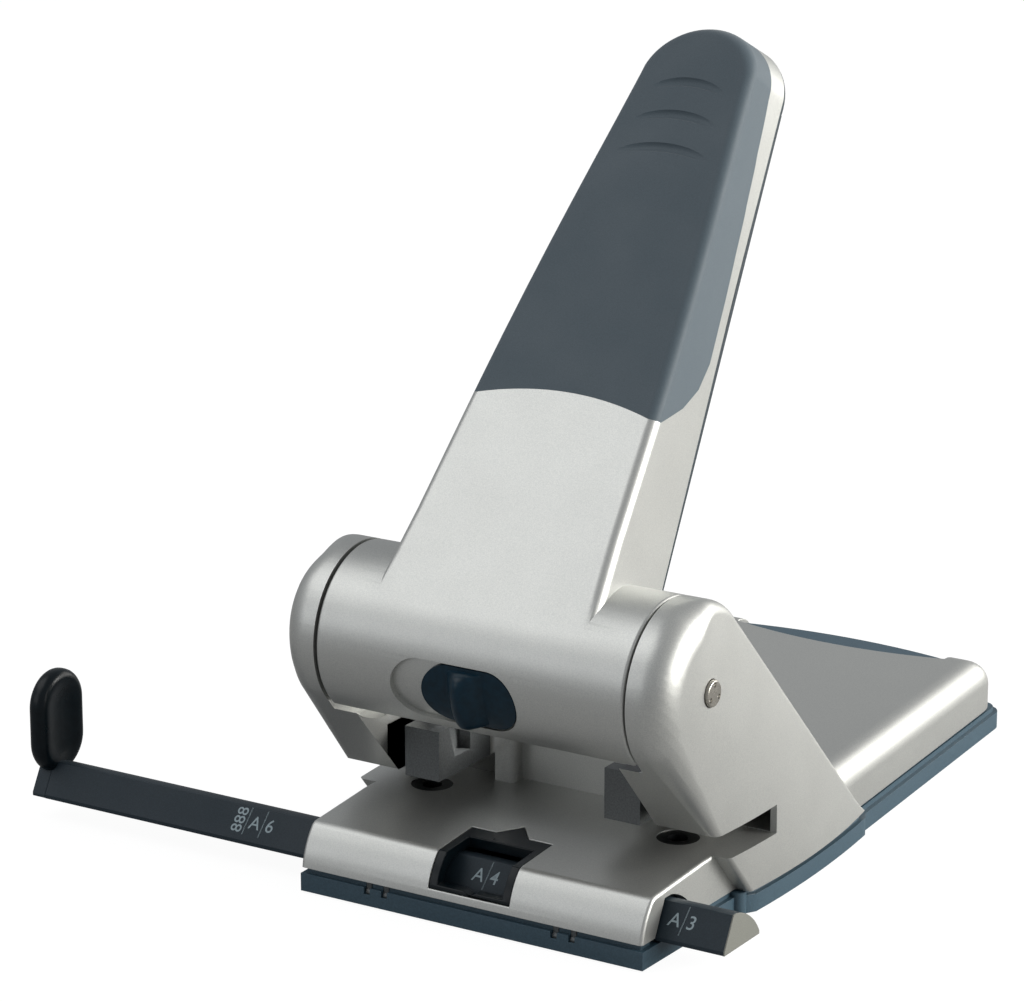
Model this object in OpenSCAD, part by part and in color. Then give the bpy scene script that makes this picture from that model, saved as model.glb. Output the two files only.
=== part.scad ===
// Heavy-duty two-hole lever punch for a desk.
// X to the right, Y from the sheet's edge side towards the chip deck, Z up.
// The origin is on the desk, midway between the two punches.

/* [Punching] */
// Distance between the two punched holes
hole_pitch = 80; // [70:1:90]
// Radius of a punched hole
punch_r = 2.75; // [2.25:0.05:3.5]
// Distance from the hole centres to the edge of the sheet
edge_distance = 12; // [10:0.5:13]
// Free height of the throat that takes the sheets
throat_gap = 8.3; // [6:0.1:9]
// Angle that the lever is pressed through
lever_travel = 35; // [25:1:38]
// Height of the raised punch tip above the throat's roof
tip_recess = 0.6; // [0.2:0.1:2]

/* [Base] */
// Height of the plate's top at the throat
plate_z = 21.2; // [20:0.1:23]
// Height of the crease along the plate's front
crease_z = 19.4; // [18:0.1:20.5]
// Height of the casting's lower edge above the desk
lip_z = 7.65; // [7.2:0.05:8.5]
// Distance from the punches forward to the crease
crease_y = 38.3; // [36:0.1:42]
// Distance from the punches forward to the casting's front edge
front_y = 44.3; // [43:0.1:48]
// Half width of the front plate
front_hw = 54.6; // [52:0.1:58]
// Thickness of the plate
plate_t = 3; // [2.5:0.1:4]
// Thickness of the casting's skirts
skirt_t = 2.6; // [2:0.1:3.2]
// Distance from the punches back to the throat's wall
throat_depth = 17; // [15:0.5:18]
// Thickness of the throat's wall
wall_t = 3; // [2.5:0.5:5]
// Height of the top of the throat's wall and the punch guides
guide_z = 44; // [40:1:45]

/* [Cheeks] */
// Height of the lever's pivot above the desk
pivot_z = 72.4; // [72:0.2:74]
// Distance from the punches forward to the pivot
pivot_y = 20.5; // [18:0.5:22]
// Radius of the barrel and of the round tops of the cheeks
barrel_r = 24.3; // [23:0.1:25]
// Half distance between the cheeks' inner faces
cheek_in = 49.1; // [48:0.1:50]
// Half width over the cheeks at the crown of their domed faces
cheek_out = 61.3; // [59:0.1:63]
// Radius of the domed outer faces
dome_r = 146; // [120:1:200]
// Lean of the cheeks' front edges
front_lean = 41.9; // [38:0.1:44]
// Lean of the cheeks' rear edges
rear_lean = 45; // [42:0.5:48]
// Half distance between the feet that widen the cheeks at the throat
foot_in = 41.7; // [41.5:0.1:44]

/* [Punch guides] */
// Inner side of a guide block, from the middle
block_in = 26.6; // [24:0.1:30]
// Outer side of a guide block, from the middle
block_out = 37.8; // [36:0.1:38]
// Distance from the punches forward to a guide block's face
block_front = 17; // [14:0.5:18]
// Radius of the round guide boss
boss_r = 8; // [7:0.5:9]
// Height of the plain guide bore above the throat
guide_len = 6; // [5:0.5:7]
// Outer radius of a die bush
die_r = 6; // [5:0.25:7]
// Height of a die bush
die_h = 5; // [4:0.5:6]

/* [Deck] */
// Height of the deck
deck_z = 23.75; // [22.5:0.25:25]
// Distance from the punches back to the deck's rear end
deck_rear = 181; // [170:1:190]
// Half width of the deck where the cheeks end
deck_hw = 54.9; // [52.5:0.1:55.5]
// Angle by which each side of the deck closes in
deck_taper = 3.9; // [3:0.1:5]
// Radius of the deck's long edges
deck_side_r = 7.5; // [6:0.5:12]
// Radius of the deck's rear edge
deck_rear_r = 11; // [8:0.5:13]
// Thickness of the deck's shell
deck_t = 2.2; // [1.8:0.1:3]
// Depth of the curved finger opening in the deck's rear edge
finger_depth = 5; // [4:0.5:8]
// Half width of the finger opening
finger_hw = 36; // [30:1:42]

/* [Lever] */
// Clearance between each end of the barrel and its cheek
barrel_end_gap = 0.4; // [0.3:0.05:1]
// Thickness of the barrel's shell
barrel_t = 2.5; // [2:0.1:3]
// Lean of the handle from upright
handle_lean = 41.5; // [38:0.5:45]
// Length of the handle from the pivot to its end
handle_len = 186.2; // [165:1:200]
// Half width of the handle at the pivot
handle_hw = 35; // [32:0.1:37]
// Narrowing of the handle's half width per unit of length
handle_narrow = 0.1; // [0.08:0.005:0.11]
// Depth of the handle at the pivot
handle_depth = 35.8; // [32:0.2:38]
// Thinning of the handle per unit of length
handle_thin = 0.073; // [0.05:0.001:0.085]
// Thickness of the handle's walls
handle_t = 2.6; // [2:0.1:3.5]
// Thickness of the grip pad
pad_t = 2.2; // [1.6:0.1:3]
// Distance from the pivot to the grip pad's lower edge
pad_start = 65; // [55:1:80]
// Thickness of the rear cover
cover_t = 1.6; // [1.2:0.1:2.4]

/* [Pivot and cams] */
// Radius of the pivot pin
pin_r = 3.7; // [3.2:0.1:4.2]
// Outer radius of the pivot sleeve
sleeve_r = 6; // [5.5:0.1:7]
// Running clearance of the pivot sleeve on its pin
pivot_fit = 0.05; // [0.02:0.01:0.1]
// Thickness of a cam plate
cam_t = 2.8; // [2.2:0.1:2.9]

/* [Lock] */
// Angle of the lock slider on the barrel, from straight back
lock_angle = 195.5; // [190:0.5:200]
// Length of the lock slider
lock_len = 30; // [26:0.5:32]
// Height of the lock slider
lock_h = 17.6; // [15:0.2:18]
// Travel of the lock slider
lock_travel = 9; // [7:0.5:9.5]
// Radius of the lock bolt
bolt_r = 2.2; // [1.8:0.1:2.5]

/* [Guide rod] */
// Distance from the middle to the sheet stop, at the A4 mark
stop_x = 148.5; // [148:0.5:149]
// Distance from the middle to the rod's free end
rod_right = 75.3; // [70:0.1:80]
// Height of the rod's flat underside
rod_z = 6.6; // [6.4:0.1:6.8]
// Height of the rod's ridge
rod_top = 16.6; // [16:0.1:17]
// Running clearance round the rod
rod_fit = 0.25; // [0.2:0.05:0.35]

/* [Chip tray] */
// Height of the tray's outer band
band_z = 5.8; // [5.2:0.1:6]
// Thickness of the tray's floor
floor_t = 1.8; // [1.4:0.1:2]
// Thickness of the tray's walls
tray_t = 1.6; // [1.2:0.1:2]
// Height of the tray's rear thumb block
thumb_z = 21.75; // [20:0.25:22.25]
// Distance from the middle to each tray hinge
hinge_x = 30; // [24:1:36]
// Radius of a tray hinge pin
hinge_pin_r = 0.7; // [0.6:0.05:0.8]
// Radius of a round rubber foot
foot_r = 5; // [4:0.5:6]
// Length of the rubber strip under the punches
strip_len = 76; // [60:1:84]
// Width of the rubber strip
strip_w = 12; // [8:1:14]

/* [Fasteners] */
// Radius of a screw's shank
screw_r = 1.4; // [1.2:0.1:1.6]
// Radius of a screw's head
screw_head_r = 2.8; // [2.4:0.1:3.2]
// Clearance between parts that are only placed together
loose = 0.3; // [0.2:0.05:0.4]
// Clearance of the punches and other sliding round fits
slide_fit = 0.05; // [0.02:0.01:0.08]

/* [Hidden] */
$fn = 64;

// Punching gear
punch_x = hole_pitch / 2;
roof_z = plate_z + throat_gap;
tip_z = roof_z + tip_recess;
stroke = pivot_y * lever_travel * PI / 180;
head_top = guide_z + 14 - loose;
head_h = 4;
head_r = 4.6;
spring_seat_z = roof_z + guide_len;
spring_room_r = head_r + 0.6;
spring_wire = 0.8;
spring_r = punch_r + 0.45 + spring_wire / 2;
spring_turns = 7;
knee_y = 12;
wall_y = throat_depth;
barrel_gap = 0.6;
barrel_hl = cheek_in - barrel_end_gap;

// Plate: front face bulges a little between the lower edge and the crease
front_bulge = 1.1;
tray_front = front_y - 0.1;
// Window
window_hw = 13;
window_back = 21.2;
window_low = 9.8;
pointer_hw = 5.3;
pointer_len = 6.4;
frame_side = 2.6;
frame_back = 5.6;
frame_low = 1.3;
bezel_t = plate_t + 0.2;
die_low = plate_z - die_h - 0.2;
// Distance from the dome's axis to the pivot's side, across the cheek's front edge
dome_back = 28;
// Lowest point of a cheek's rear edge
cheek_end = -pivot_y + (barrel_r - 0.04) * cos(rear_lean) + (pivot_z + (barrel_r - 0.04) * sin(rear_lean) - lip_z)
    / tan(90 - rear_lean);
deck_corner_r = 5;
// Room cored out under each cheek
core_out = cheek_out - 4.1;
core_z = plate_z - 3.8;

// Ears behind the throat's wall that the deck's bosses stand on
ear_x = 30;
ear_y = wall_y + wall_t + 8;
ear_z = 8;
ear_t = 3;

// Rod
rod_left = stop_x + 1.5;
cap_len = 4.6;
paddle_t = 4.8;
rod_front = 36.6;
rod_ridge = 31;
rod_back = 17.6;
channel_hl = front_hw - skirt_t - 0.6;
channel_front = 38.5;
channel_back = 14.5;
channel_low = 4.2;

// Deck's finger opening and tray
finger_y = deck_rear - deck_rear_r - finger_depth;
tray_low = 0.6;
tray_floor_z = tray_low + floor_t;
hinge_y = tray_front - 2;
hinge_z = 4.2;
tray_rear_hw = deck_hw + 1.3;
lug_t = 1.6;
tab_hw = 1.8;
lug_r = 1.2;
// Seats of the rubber strip and feet in the tray's underside
foot_sink = 0.8;
foot_x = 34;
foot_back = 16;
tray_rim_z = lip_z - 0.45;

// Places of the cover's screws along the handle, and thickness of the cover's plug
screw_places = [52, 104, 154];
plug_t = 2;

// Lock
bolt_ring = barrel_r - 7.5;
slider_right = lock_len / 2 - 0.2;
recess_t = 1.6;

function arc_points(a, b, bulge, n) =
    let (mid = (a + b) / 2, d = b - a, half = norm(d) / 2,
        side = [d[1], -d[0]] / norm(d),
        r = (half * half + bulge * bulge) / (2 * bulge),
        c = mid - side * (r - bulge),
        a0 = atan2(a[1] - c[1], a[0] - c[0]),
        a1 = atan2(b[1] - c[1], b[0] - c[0]),
        sweep = (a1 - a0 + 540) % 360 - 180)
    [for (i = [0:n]) c + abs(r) * [cos(a0 + sweep * i / n), sin(a0 + sweep * i / n)]];

// A flat outline given in Y and Z, drawn out along X between two places
module along_x(x0, x1) {
    translate([x0, 0, 0]) rotate([90, 0, 90]) linear_extrude(x1 - x0) children();
}

module both_sides() {
    children();
    mirror([1, 0, 0]) children();
}

// ---- base casting ----

module plate_outline(t, low) {
    front = arc_points([-front_y + t, lip_z], [-crease_y + 0.75 * t, crease_z - t], -front_bulge, 8);
    polygon(concat([[-front_y + t, low]], front,
        [[-knee_y, plate_z - t], [wall_y + wall_t, plate_z - t], [wall_y + wall_t, low]]));
}

module front_shell() {
    intersection() {
        along_x(-front_hw - 2, front_hw + 2) plate_outline(0, lip_z);
        linear_extrude(plate_z + 1) polygon([[-front_hw, -front_y - 1], [front_hw, -front_y - 1],
            [front_hw + 1, wall_y + wall_t], [-front_hw - 1, wall_y + wall_t]]);
    }
}

module front_hollow() {
    intersection() {
        along_x(-front_hw, front_hw) plate_outline(plate_t, -1);
        linear_extrude(plate_z) polygon([[-front_hw + skirt_t, -front_y], [front_hw - skirt_t, -front_y],
            [front_hw - skirt_t, wall_y + wall_t + 1], [-front_hw + skirt_t, wall_y + wall_t + 1]]);
    }
}

// Side view of a cheek: a round top with two straight edges that leave it almost as tangents
module cheek_outline(inset, low) {
    top_r = barrel_r - inset;
    r = top_r - 0.04;
    cy = -pivot_y;
    front_n = [-cos(front_lean), -sin(front_lean)];
    rear_n = [cos(rear_lean), sin(rear_lean)];
    front_t = [cy, pivot_z] + r * front_n;
    rear_t = [cy, pivot_z] + r * rear_n;
    front_low = front_t[0] + (front_t[1] - low) * tan(front_lean);
    rear_low = rear_t[0] + (rear_t[1] - low) / tan(90 - rear_lean);
    translate([cy, pivot_z]) circle(r = top_r);
    polygon([front_t, [front_low, low], [rear_low, low], rear_t, [cy, pivot_z]]);
}

module cheek() {
    intersection() {
        along_x(cheek_in, cheek_out + 2) cheek_outline(0, lip_z);
        translate([cheek_out - dome_r, 0, 0]) rotate([front_lean, 0, 0]) dome_cylinder();
    }
}

// The dome's axis runs along the cheek's leaning front edge
module dome_cylinder() {
    translate([0, dome_back, -100]) cylinder(r = dome_r, h = 300, $fn = 128);
}

// Widens a cheek inwards over the throat, up to the barrel in front and to the guides behind
module foot() {
    difference() {
        along_x(foot_in, cheek_in) intersection() {
            cheek_outline(0.06, roof_z - 2);
            polygon([[-80, roof_z - 1], [wall_y + 1, roof_z - 1], [wall_y + 1, guide_z], [-2, guide_z],
                [-12, guide_z + 8], [-60, guide_z + 20]]);
        }
        translate([0, -pivot_y, pivot_z]) rotate([0, 90, 0]) cylinder(r = barrel_r + barrel_gap, h = 100);
    }
}

module guide_block() {
    low = roof_z - 1;
    block_h = guide_z - low;
    difference() {
        union() {
            translate([block_in, -block_front, low])
                cube([block_out - block_in, block_front + wall_y + 1, block_h]);
            translate([punch_x, 0, low]) cylinder(r = boss_r, h = block_h);
            translate([block_out - 1, 0, low]) cube([foot_in - block_out + 2, wall_y + 1, block_h]);
        }
        guide_pocket();
    }
}

// The notch in the inner side of each block, wider at its top
module guide_pocket() {
    along_x(block_in - 1, block_in + 3.5)
        polygon([[-12.2, guide_z + 1], [-9, guide_z - 9.5], [-1, guide_z - 9.5], [-1, guide_z + 1]]);
}

module throat_wall() {
    low = 14;
    translate([-cheek_in, wall_y, low]) cube([2 * cheek_in, wall_t, guide_z - low]);
    both_sides() {
        translate([ear_x - 6, wall_y, ear_z]) cube([12, wall_t, guide_z - ear_z]);
        translate([ear_x - 6, wall_y, ear_z]) cube([12, ear_y + 5 - wall_y, ear_t]);
    }
}

// Ribs that the sheet's edge meets
module stop_ribs() {
    both_sides() translate([block_in - 6, edge_distance, plate_z - 1])
        cube([6, wall_y - edge_distance + 1, guide_z - 6 - plate_z]);
}

module window_outline(inset) {
    back = -window_back + inset;
    polygon([[-window_hw + inset, back - inset * 2], [-pointer_hw + inset / 2, back - inset * 2],
        [0, -window_back + pointer_len - inset * 1.5], [pointer_hw - inset / 2, back - inset * 2],
        [window_hw - inset, back - inset * 2], [window_hw - inset, -front_y - 5],
        [-window_hw + inset, -front_y - 5]]);
}

module window_cut(inset) {
    translate([0, 0, window_low + inset]) linear_extrude(20) window_outline(inset);
}

module hinge_lugs() {
    for (sx = [-1, 1], side = [-1, 1])
        translate([sx * hinge_x + side * (tab_hw + 0.2 + lug_t / 2) - lug_t / 2, -hinge_y, hinge_z])
            rotate([90, 0, 90]) linear_extrude(lug_t) difference() {
                union() {
                    circle(r = lug_r);
                    translate([-0.7, 0]) square([0.7 + lug_r, lip_z + 1 - hinge_z]);
                }
                circle(r = hinge_pin_r);
            }
}

module base_casting() {
    color("#b9bab8") {
        difference() {
            union() {
                difference() {
                    front_shell();
                    front_hollow();
                }
                both_sides() {
                    cheek();
                    foot();
                    guide_block();
                    translate([punch_x, 0, die_low - 3]) cylinder(r = die_r + 3, h = plate_z - 1 - die_low + 3);
                }
                throat_wall();
                hinge_lugs();
            }
            // throat between the plate and the cheeks' overhang
            translate([-80, -70, plate_z]) cube([160, 70 + wall_y, throat_gap]);
            both_sides() {
                translate([punch_x, 0, 0]) cylinder(r = punch_r + 1, h = plate_z - 1);
                translate([punch_x, 0, die_low]) cylinder(r = die_r, h = die_h + 2);
                translate([punch_x, 0, roof_z - 1]) cylinder(r = punch_r + slide_fit, h = 40);
                translate([punch_x, 0, spring_seat_z]) cylinder(r = spring_room_r, h = 60);
                translate([ear_x, ear_y, ear_z - 1]) cylinder(r = screw_r + 0.3, h = ear_t + 2);
                // hollow under each cheek
                translate([cheek_in - 4, 12, -1]) cube([core_out - cheek_in + 4, 50, core_z + 1]);
            }
            translate([-80, -pivot_y, pivot_z]) rotate([0, 90, 0]) cylinder(r = pin_r + 0.02, h = 160);
            window_cut(0);
            // the rod's way through the skirts
            along_x(-80, 80) rod_outline(1);
            // the lock bolt's seats, with the lever up and down
            for (turn = [0, lever_travel]) lock_seat(turn);
        }
        stop_ribs();
    }
}

module lock_seat(turn) {
    a = lock_angle - turn;
    translate([-cheek_in - lock_travel - 1, -pivot_y + bolt_ring * cos(a), pivot_z + bolt_ring * sin(a)])
        rotate([0, 90, 0]) cylinder(r = bolt_r + loose, h = lock_travel + 2);
}

module window_bezel() {
    color("#14181f") difference() {
        intersection() {
            difference() {
                along_x(-window_hw + 0.1, window_hw - 0.1) plate_outline(0.2, window_low + 0.1);
                along_x(-window_hw, window_hw) plate_outline(bezel_t, -1);
            }
            window_cut(0.1);
        }
        along_x(-window_hw, window_hw) rod_outline(rod_fit + 0.1);
        // the opening that shows the rod's marks
        translate([-window_hw + frame_side, -front_y - 5, window_low + frame_low])
            cube([2 * (window_hw - frame_side), front_y + 5 - window_back - frame_back, 20]);
        translate([0, -front_y - 5, window_low + frame_low - 0.8]) rotate([-90, 0, 0]) linear_extrude(14)
            polygon([[-2.2, -0.9], [2.2, -0.9], [0, 0.1]]);
    }
}

module die_bush() {
    translate([punch_x, 0, die_low]) difference() {
        cylinder(r = die_r, h = die_h);
        translate([0, 0, -1]) cylinder(r = punch_r + slide_fit, h = die_h + 2);
    }
}

module die_bush_right() {
    color("#8d9094") die_bush();
}

module die_bush_left() {
    color("#8d9094") mirror([1, 0, 0]) die_bush();
}

// ---- guide rod and its channel ----

// Cross-section in Y and Z: a flat underside, a straight front and a rounded back
module rod_outline(gap) {
    back = arc_points([-rod_ridge + 0.9 + gap, rod_top + gap], [-rod_back + gap, rod_z + 1], -1.7, 8);
    polygon(concat([[-rod_front - gap, rod_z - gap], [-rod_front - gap, rod_z + 1.2], [-rod_ridge - 0.8 - gap, rod_top + gap]],
        back, [[-rod_back + gap, rod_z - gap]]));
}

module rod_channel() {
    color("#1d2125") difference() {
        intersection() {
            translate([-channel_hl, -channel_front, channel_low])
                cube([2 * channel_hl, channel_front - channel_back, 20]);
            along_x(-channel_hl, channel_hl) plate_outline(plate_t + 0.1, -1);
        }
        along_x(-80, 80) rod_outline(rod_fit);
        translate([-window_hw - 1, -channel_front - 1, rod_z + 1]) cube([2 * window_hw + 2, 30, 20]);
        translate([-15, -31, channel_low - 1]) cube([30, 8, 4]);
        both_sides() translate([hinge_x - 5, -channel_front - 1, channel_low - 1]) cube([10, 2.5, 6]);
        // room for the chips that fall from the dies
        both_sides() translate([punch_x, 0, 0]) cylinder(r = die_r + 4, h = 30);
    }
}

module rod_detent_spring() {
    strip_w = 6;
    t = 0.5;
    bow = rod_z - rod_fit - 0.1 - channel_low;
    top = arc_points([6, channel_low], [-6, channel_low], bow, 12);
    low = arc_points([-6, channel_low - t], [6, channel_low - t], -bow, 12);
    color("#a9adb0") translate([0, -27 + strip_w / 2, 0]) rotate([90, 0, 0]) linear_extrude(strip_w)
        polygon(concat([[19, channel_low - t], [19, channel_low]], top, [[-19, channel_low], [-19, channel_low - t]], low));
}

module rod_notches() {
    // one notch under each paper mark
    for (x = [-80, -74.5, -43.5, 0, 61.5])
        translate([x, -27 + 4, rod_z]) rotate([90, 0, 0]) cylinder(r = 1, h = 8, $fn = 24);
}

module guide_rod() {
    color("#263238") difference() {
        along_x(-rod_left, rod_right) rod_outline(0);
        rod_notches();
    }
}

module rod_end_cap() {
    color("#1b2429") along_x(-rod_left - cap_len, -rod_left) rod_outline(0);
}

module stop_paddle() {
    paddle_w = 18.5;
    paddle_low = 18;
    paddle_high = 44.6;
    corner = 8.5;
    thick = paddle_t;
    mid = -28.2;
    color("#0a1418") difference() {
        union() {
            along_x(-stop_x - thick, -stop_x) {
                for (dz = [paddle_low + corner, paddle_high - corner], s = [-1, 1])
                    translate([mid + s * (paddle_w / 2 - corner), dz]) circle(r = corner);
                translate([mid - paddle_w / 2, paddle_low + corner])
                    square([paddle_w, paddle_high - paddle_low - 2 * corner]);
                translate([mid - 2, paddle_low]) square([4, paddle_high - paddle_low]);
            }
            along_x(-stop_x - thick, -stop_x - 1)
                translate([-rod_ridge - 0.5, rod_top]) square([1.4, 4]);
        }
        translate([-stop_x + 20, mid, (paddle_low + paddle_high) / 2]) sphere(r = 20.9, $fn = 96);
    }
}

// ---- deck ----

module deck_side(inset) {
    r = deck_side_r - inset;
    len = deck_rear + 60;
    translate([deck_hw, cheek_end, 0]) rotate([0, 0, deck_taper]) translate([-inset, len, 0])
        rotate([90, 0, 0]) linear_extrude(2 * len) {
            translate([-200, -5]) square([200, deck_z - inset - r + 5]);
            translate([-200, -5]) square([200 - r, deck_z - inset + 5]);
            translate([-r, deck_z - inset - r]) circle(r = r);
        }
}

module deck_end(inset, low) {
    r = deck_rear_r - inset;
    along_x(-80, 80) {
        y0 = wall_y + wall_t - inset;
        translate([y0, low]) square([deck_rear - inset - y0, deck_z - inset - r - low]);
        translate([y0, low]) square([deck_rear - inset - r - y0, deck_z - inset - low]);
        translate([deck_rear - inset - r, deck_z - inset - r]) circle(r = r);
    }
}

module deck_corners(inset, low) {
    r = deck_corner_r - inset;
    end_hw = deck_hw - (deck_rear - cheek_end) * tan(deck_taper) - inset;
    translate([0, 0, low]) linear_extrude(40) {
        translate([-80, -5]) square([160, deck_rear - deck_corner_r + 5]);
        translate([-end_hw - 1 + r, -5]) square([2 * (end_hw + 1 - r), deck_rear - inset + 5]);
        for (s = [-1, 1]) translate([s * (end_hw + 0.6 - r), deck_rear - inset - r]) circle(r = r);
    }
}

module deck_form(inset, low) {
    intersection() {
        deck_side(inset);
        mirror([1, 0, 0]) deck_side(inset);
        deck_end(inset, low);
        deck_corners(inset, low);
    }
}

// Everything behind the curved edge of the deck's finger opening
module behind_finger_edge(gap) {
    r = (finger_hw * finger_hw + finger_depth * finger_depth) / (2 * finger_depth);
    translate([0, finger_y + r + gap, 0]) cylinder(r = r, h = 40, $fn = 200);
}

module rear_deck() {
    color("#b9bab8") difference() {
        union() {
            difference() {
                deck_form(0, lip_z);
                deck_form(deck_t, -1);
            }
            both_sides() translate([ear_x, ear_y, ear_z + ear_t])
                cylinder(r = 4.5, h = deck_z - deck_t / 2 - ear_z - ear_t);
        }
        both_sides() {
            along_x(cheek_in - 0.2, cheek_out + 5) cheek_outline(-0.2, lip_z - 5);
            translate([ear_x, ear_y, 0]) cylinder(r = screw_r + 0.03, h = deck_z - deck_t);
        }
        intersection() {
            behind_finger_edge(0);
            translate([-finger_hw, 100, 0]) cube([2 * finger_hw, 200, 40]);
        }
    }
}

module screw(len) {
    difference() {
        union() {
            cylinder(r = screw_r, h = len);
            translate([0, 0, -1.8]) cylinder(r = screw_head_r, h = 1.8);
        }
        for (a = [0, 90]) rotate([0, 0, a]) translate([-1.6, -0.3, -2.8]) cube([3.2, 0.6, 2]);
    }
}

module deck_screws() {
    color("#9a9da0") both_sides() translate([ear_x, ear_y, ear_z]) screw(11);
}

module pivot_pin() {
    end = cheek_out + 0.5;
    color("#b9b6ae") difference() {
        translate([-end - 0.5, -pivot_y, pivot_z]) rotate([0, 90, 0]) cylinder(r = pin_r, h = 2 * end + 1);
        for (s = [-1, 1], a = [90, 210, 330])
            translate([s * (end + 0.5), -pivot_y + 2.5 * cos(a), pivot_z + 2.5 * sin(a)]) sphere(r = 0.7, $fn = 24);
    }
}

// ---- lever ----

// Handle frame: S along the handle from the pivot, Q from its front face to its rear
module handle_place() {
    translate([0, -pivot_y, pivot_z]) rotate([-handle_lean, 0, 0]) children();
}

function half_width(s) = handle_hw - handle_narrow * s;
function depth_at(s) = handle_depth - handle_thin * s;

module handle_front_outline(inset, from) {
    top_r = half_width(handle_len - 17) * cos(atan(handle_narrow));
    r = top_r - inset;
    top_s = handle_len - top_r;
    polygon([[-half_width(from) + inset, from], [half_width(from) - inset, from],
        [half_width(top_s) - inset - 0.05, top_s], [-half_width(top_s) + inset + 0.05, top_s]]);
    translate([0, top_s]) circle(r = r, $fn = 96);
}

// Solid of the handle: front view and side view drawn through each other
module handle_form(inset, from, front, back_gap) {
    intersection() {
        translate([0, 200, 0]) rotate([90, 0, 0]) linear_extrude(400) handle_front_outline(inset, from);
        along_x(-60, 60) polygon([[-barrel_r + front, from - 1], [-barrel_r + front, handle_len + 5],
            [-barrel_r + depth_at(handle_len + 5) - back_gap, handle_len + 5],
            [-barrel_r + depth_at(from - 1) - back_gap, from - 1]]);
    }
}

// Side view of the grip pad: its edge sweeps from the front face round to the sides
module pad_side_outline(gap) {
    f = -barrel_r;
    polygon([[f - 1, pad_start - gap], [f + 3, pad_start + 1 - gap], [f + 13.7, pad_start + 10 - gap],
        [f + 20 + gap, pad_start + 19], [f + 22.6 + gap, pad_start + 28],
        [f + 21.2 + gap, pad_start + 48], [f + 18.6 + gap, pad_start + 70],
        [f + 13.1 + gap, pad_start + 109], [f + 11.4 + gap, handle_len + 5], [f - 1, handle_len + 5]]);
}

module barrel_outline(gap_open) {
    difference() {
        circle(r = barrel_r, $fn = 96);
        polygon([[0, 0], 60 * [cos(227), sin(227)], 60 * [cos(250), sin(250)], 60 * [cos(290), sin(290)],
            60 * [cos(325), sin(325)], 60 * [cos(355), sin(355)]]);
    }
    circle(r = gap_open);
}

module lever_arm() {
    ring_in = barrel_r - barrel_t;
    color("#b9bab8") difference() {
        union() {
            translate([0, -pivot_y, pivot_z]) along_x(-barrel_hl, barrel_hl) barrel_outline(sleeve_r + 3);
            handle_place() handle_form(0, -2, 0, cover_t);
        }
        // hollow of the barrel between its end walls
        translate([0, -pivot_y, pivot_z]) along_x(-barrel_hl + 3, barrel_hl - 3) circle(r = ring_in, $fn = 96);
        // hollow of the handle
        handle_place() difference() {
            union() {
                intersection() {
                    handle_form(handle_t, -10, handle_t, -20);
                    translate([-60, -60, barrel_r - 3]) cube([120, 120, pad_start - barrel_r + 3]);
                }
                intersection() {
                    handle_form(handle_t + pad_t, pad_start - 1, handle_t + pad_t, -20);
                    translate([-60, -60, pad_start - 1]) cube([120, 120, 200]);
                }
            }
            for (s = screw_places) cover_post(s);
        }
        // seat of the grip pad
        handle_place() difference() {
            along_x(-60, 60) pad_side_outline(0);
            handle_form(pad_t, pad_start - 3, pad_t, -20);
        }
        translate([-60, -pivot_y, pivot_z]) rotate([0, 90, 0]) cylinder(r = sleeve_r, h = 120);
        lock_recess();
    }
}

module grip_pad() {
    color("#3a454c") handle_place() intersection() {
        difference() {
            handle_form(0, pad_start - 3, 0, -1);
            handle_form(pad_t, pad_start - 6, pad_t, -20);
            // three shallow finger grooves
            for (i = [0:2]) translate([0, -barrel_r - 1.4, handle_len - 17.5 - 10.7 * i]) rotate([0, 90, 0])
                translate([0, 0, -13 - 1.6 * i]) cylinder(r = 2, h = 26 + 3.2 * i, $fn = 32);
        }
        along_x(-60, 60) pad_side_outline(0);
    }
}

// Post inside the handle that takes a cover screw
module cover_post(s) {
    d = depth_at(s) - cover_t - plug_t;
    translate([0, -barrel_r + d, s]) rotate([90, 0, 0]) difference() {
        cylinder(r = 3.6, h = d - handle_t + 0.2);
        translate([0, 0, -1]) cylinder(r = screw_r, h = 9);
    }
}

module lever_back_cover() {
    color("#14181b") handle_place() difference() {
        union() {
            difference() {
                handle_form(0.3, barrel_r + 0.4, 0, 0);
                handle_form(-5, barrel_r - 3, -5, cover_t);
            }
            // plug that sits between the handle's walls
            difference() {
                handle_form(handle_t + pad_t + 0.3, barrel_r + 0.8, 0, 0.2);
                handle_form(-5, barrel_r - 3, -5, cover_t + plug_t);
            }
        }
        for (s = screw_places) translate([0, -barrel_r + depth_at(s) + 1, s]) rotate([90, 0, 0]) {
            cylinder(r = screw_r + 0.1, h = cover_t + 8);
            cylinder(r = screw_head_r + 0.15, h = 2.5);
        }
    }
}

module lever_cover_screws() {
    color("#7d8084") handle_place() for (s = screw_places)
        translate([0, -barrel_r + depth_at(s) - 0.3, s]) rotate([90, 0, 0]) difference() {
            union() {
                cylinder(r = screw_r, h = 9);
                cylinder(r = screw_head_r, h = 1.2);
            }
            translate([0, 0, -1]) cylinder(r = 1.1, h = 1.8, $fn = 6);
        }
}

module pivot_sleeve() {
    color("#a08a55") difference() {
        translate([-barrel_hl, -pivot_y, pivot_z]) rotate([0, 90, 0]) cylinder(r = sleeve_r, h = 2 * barrel_hl);
        translate([-60, -pivot_y, pivot_z]) rotate([0, 90, 0]) cylinder(r = pin_r + pivot_fit, h = 120);
    }
}

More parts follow.
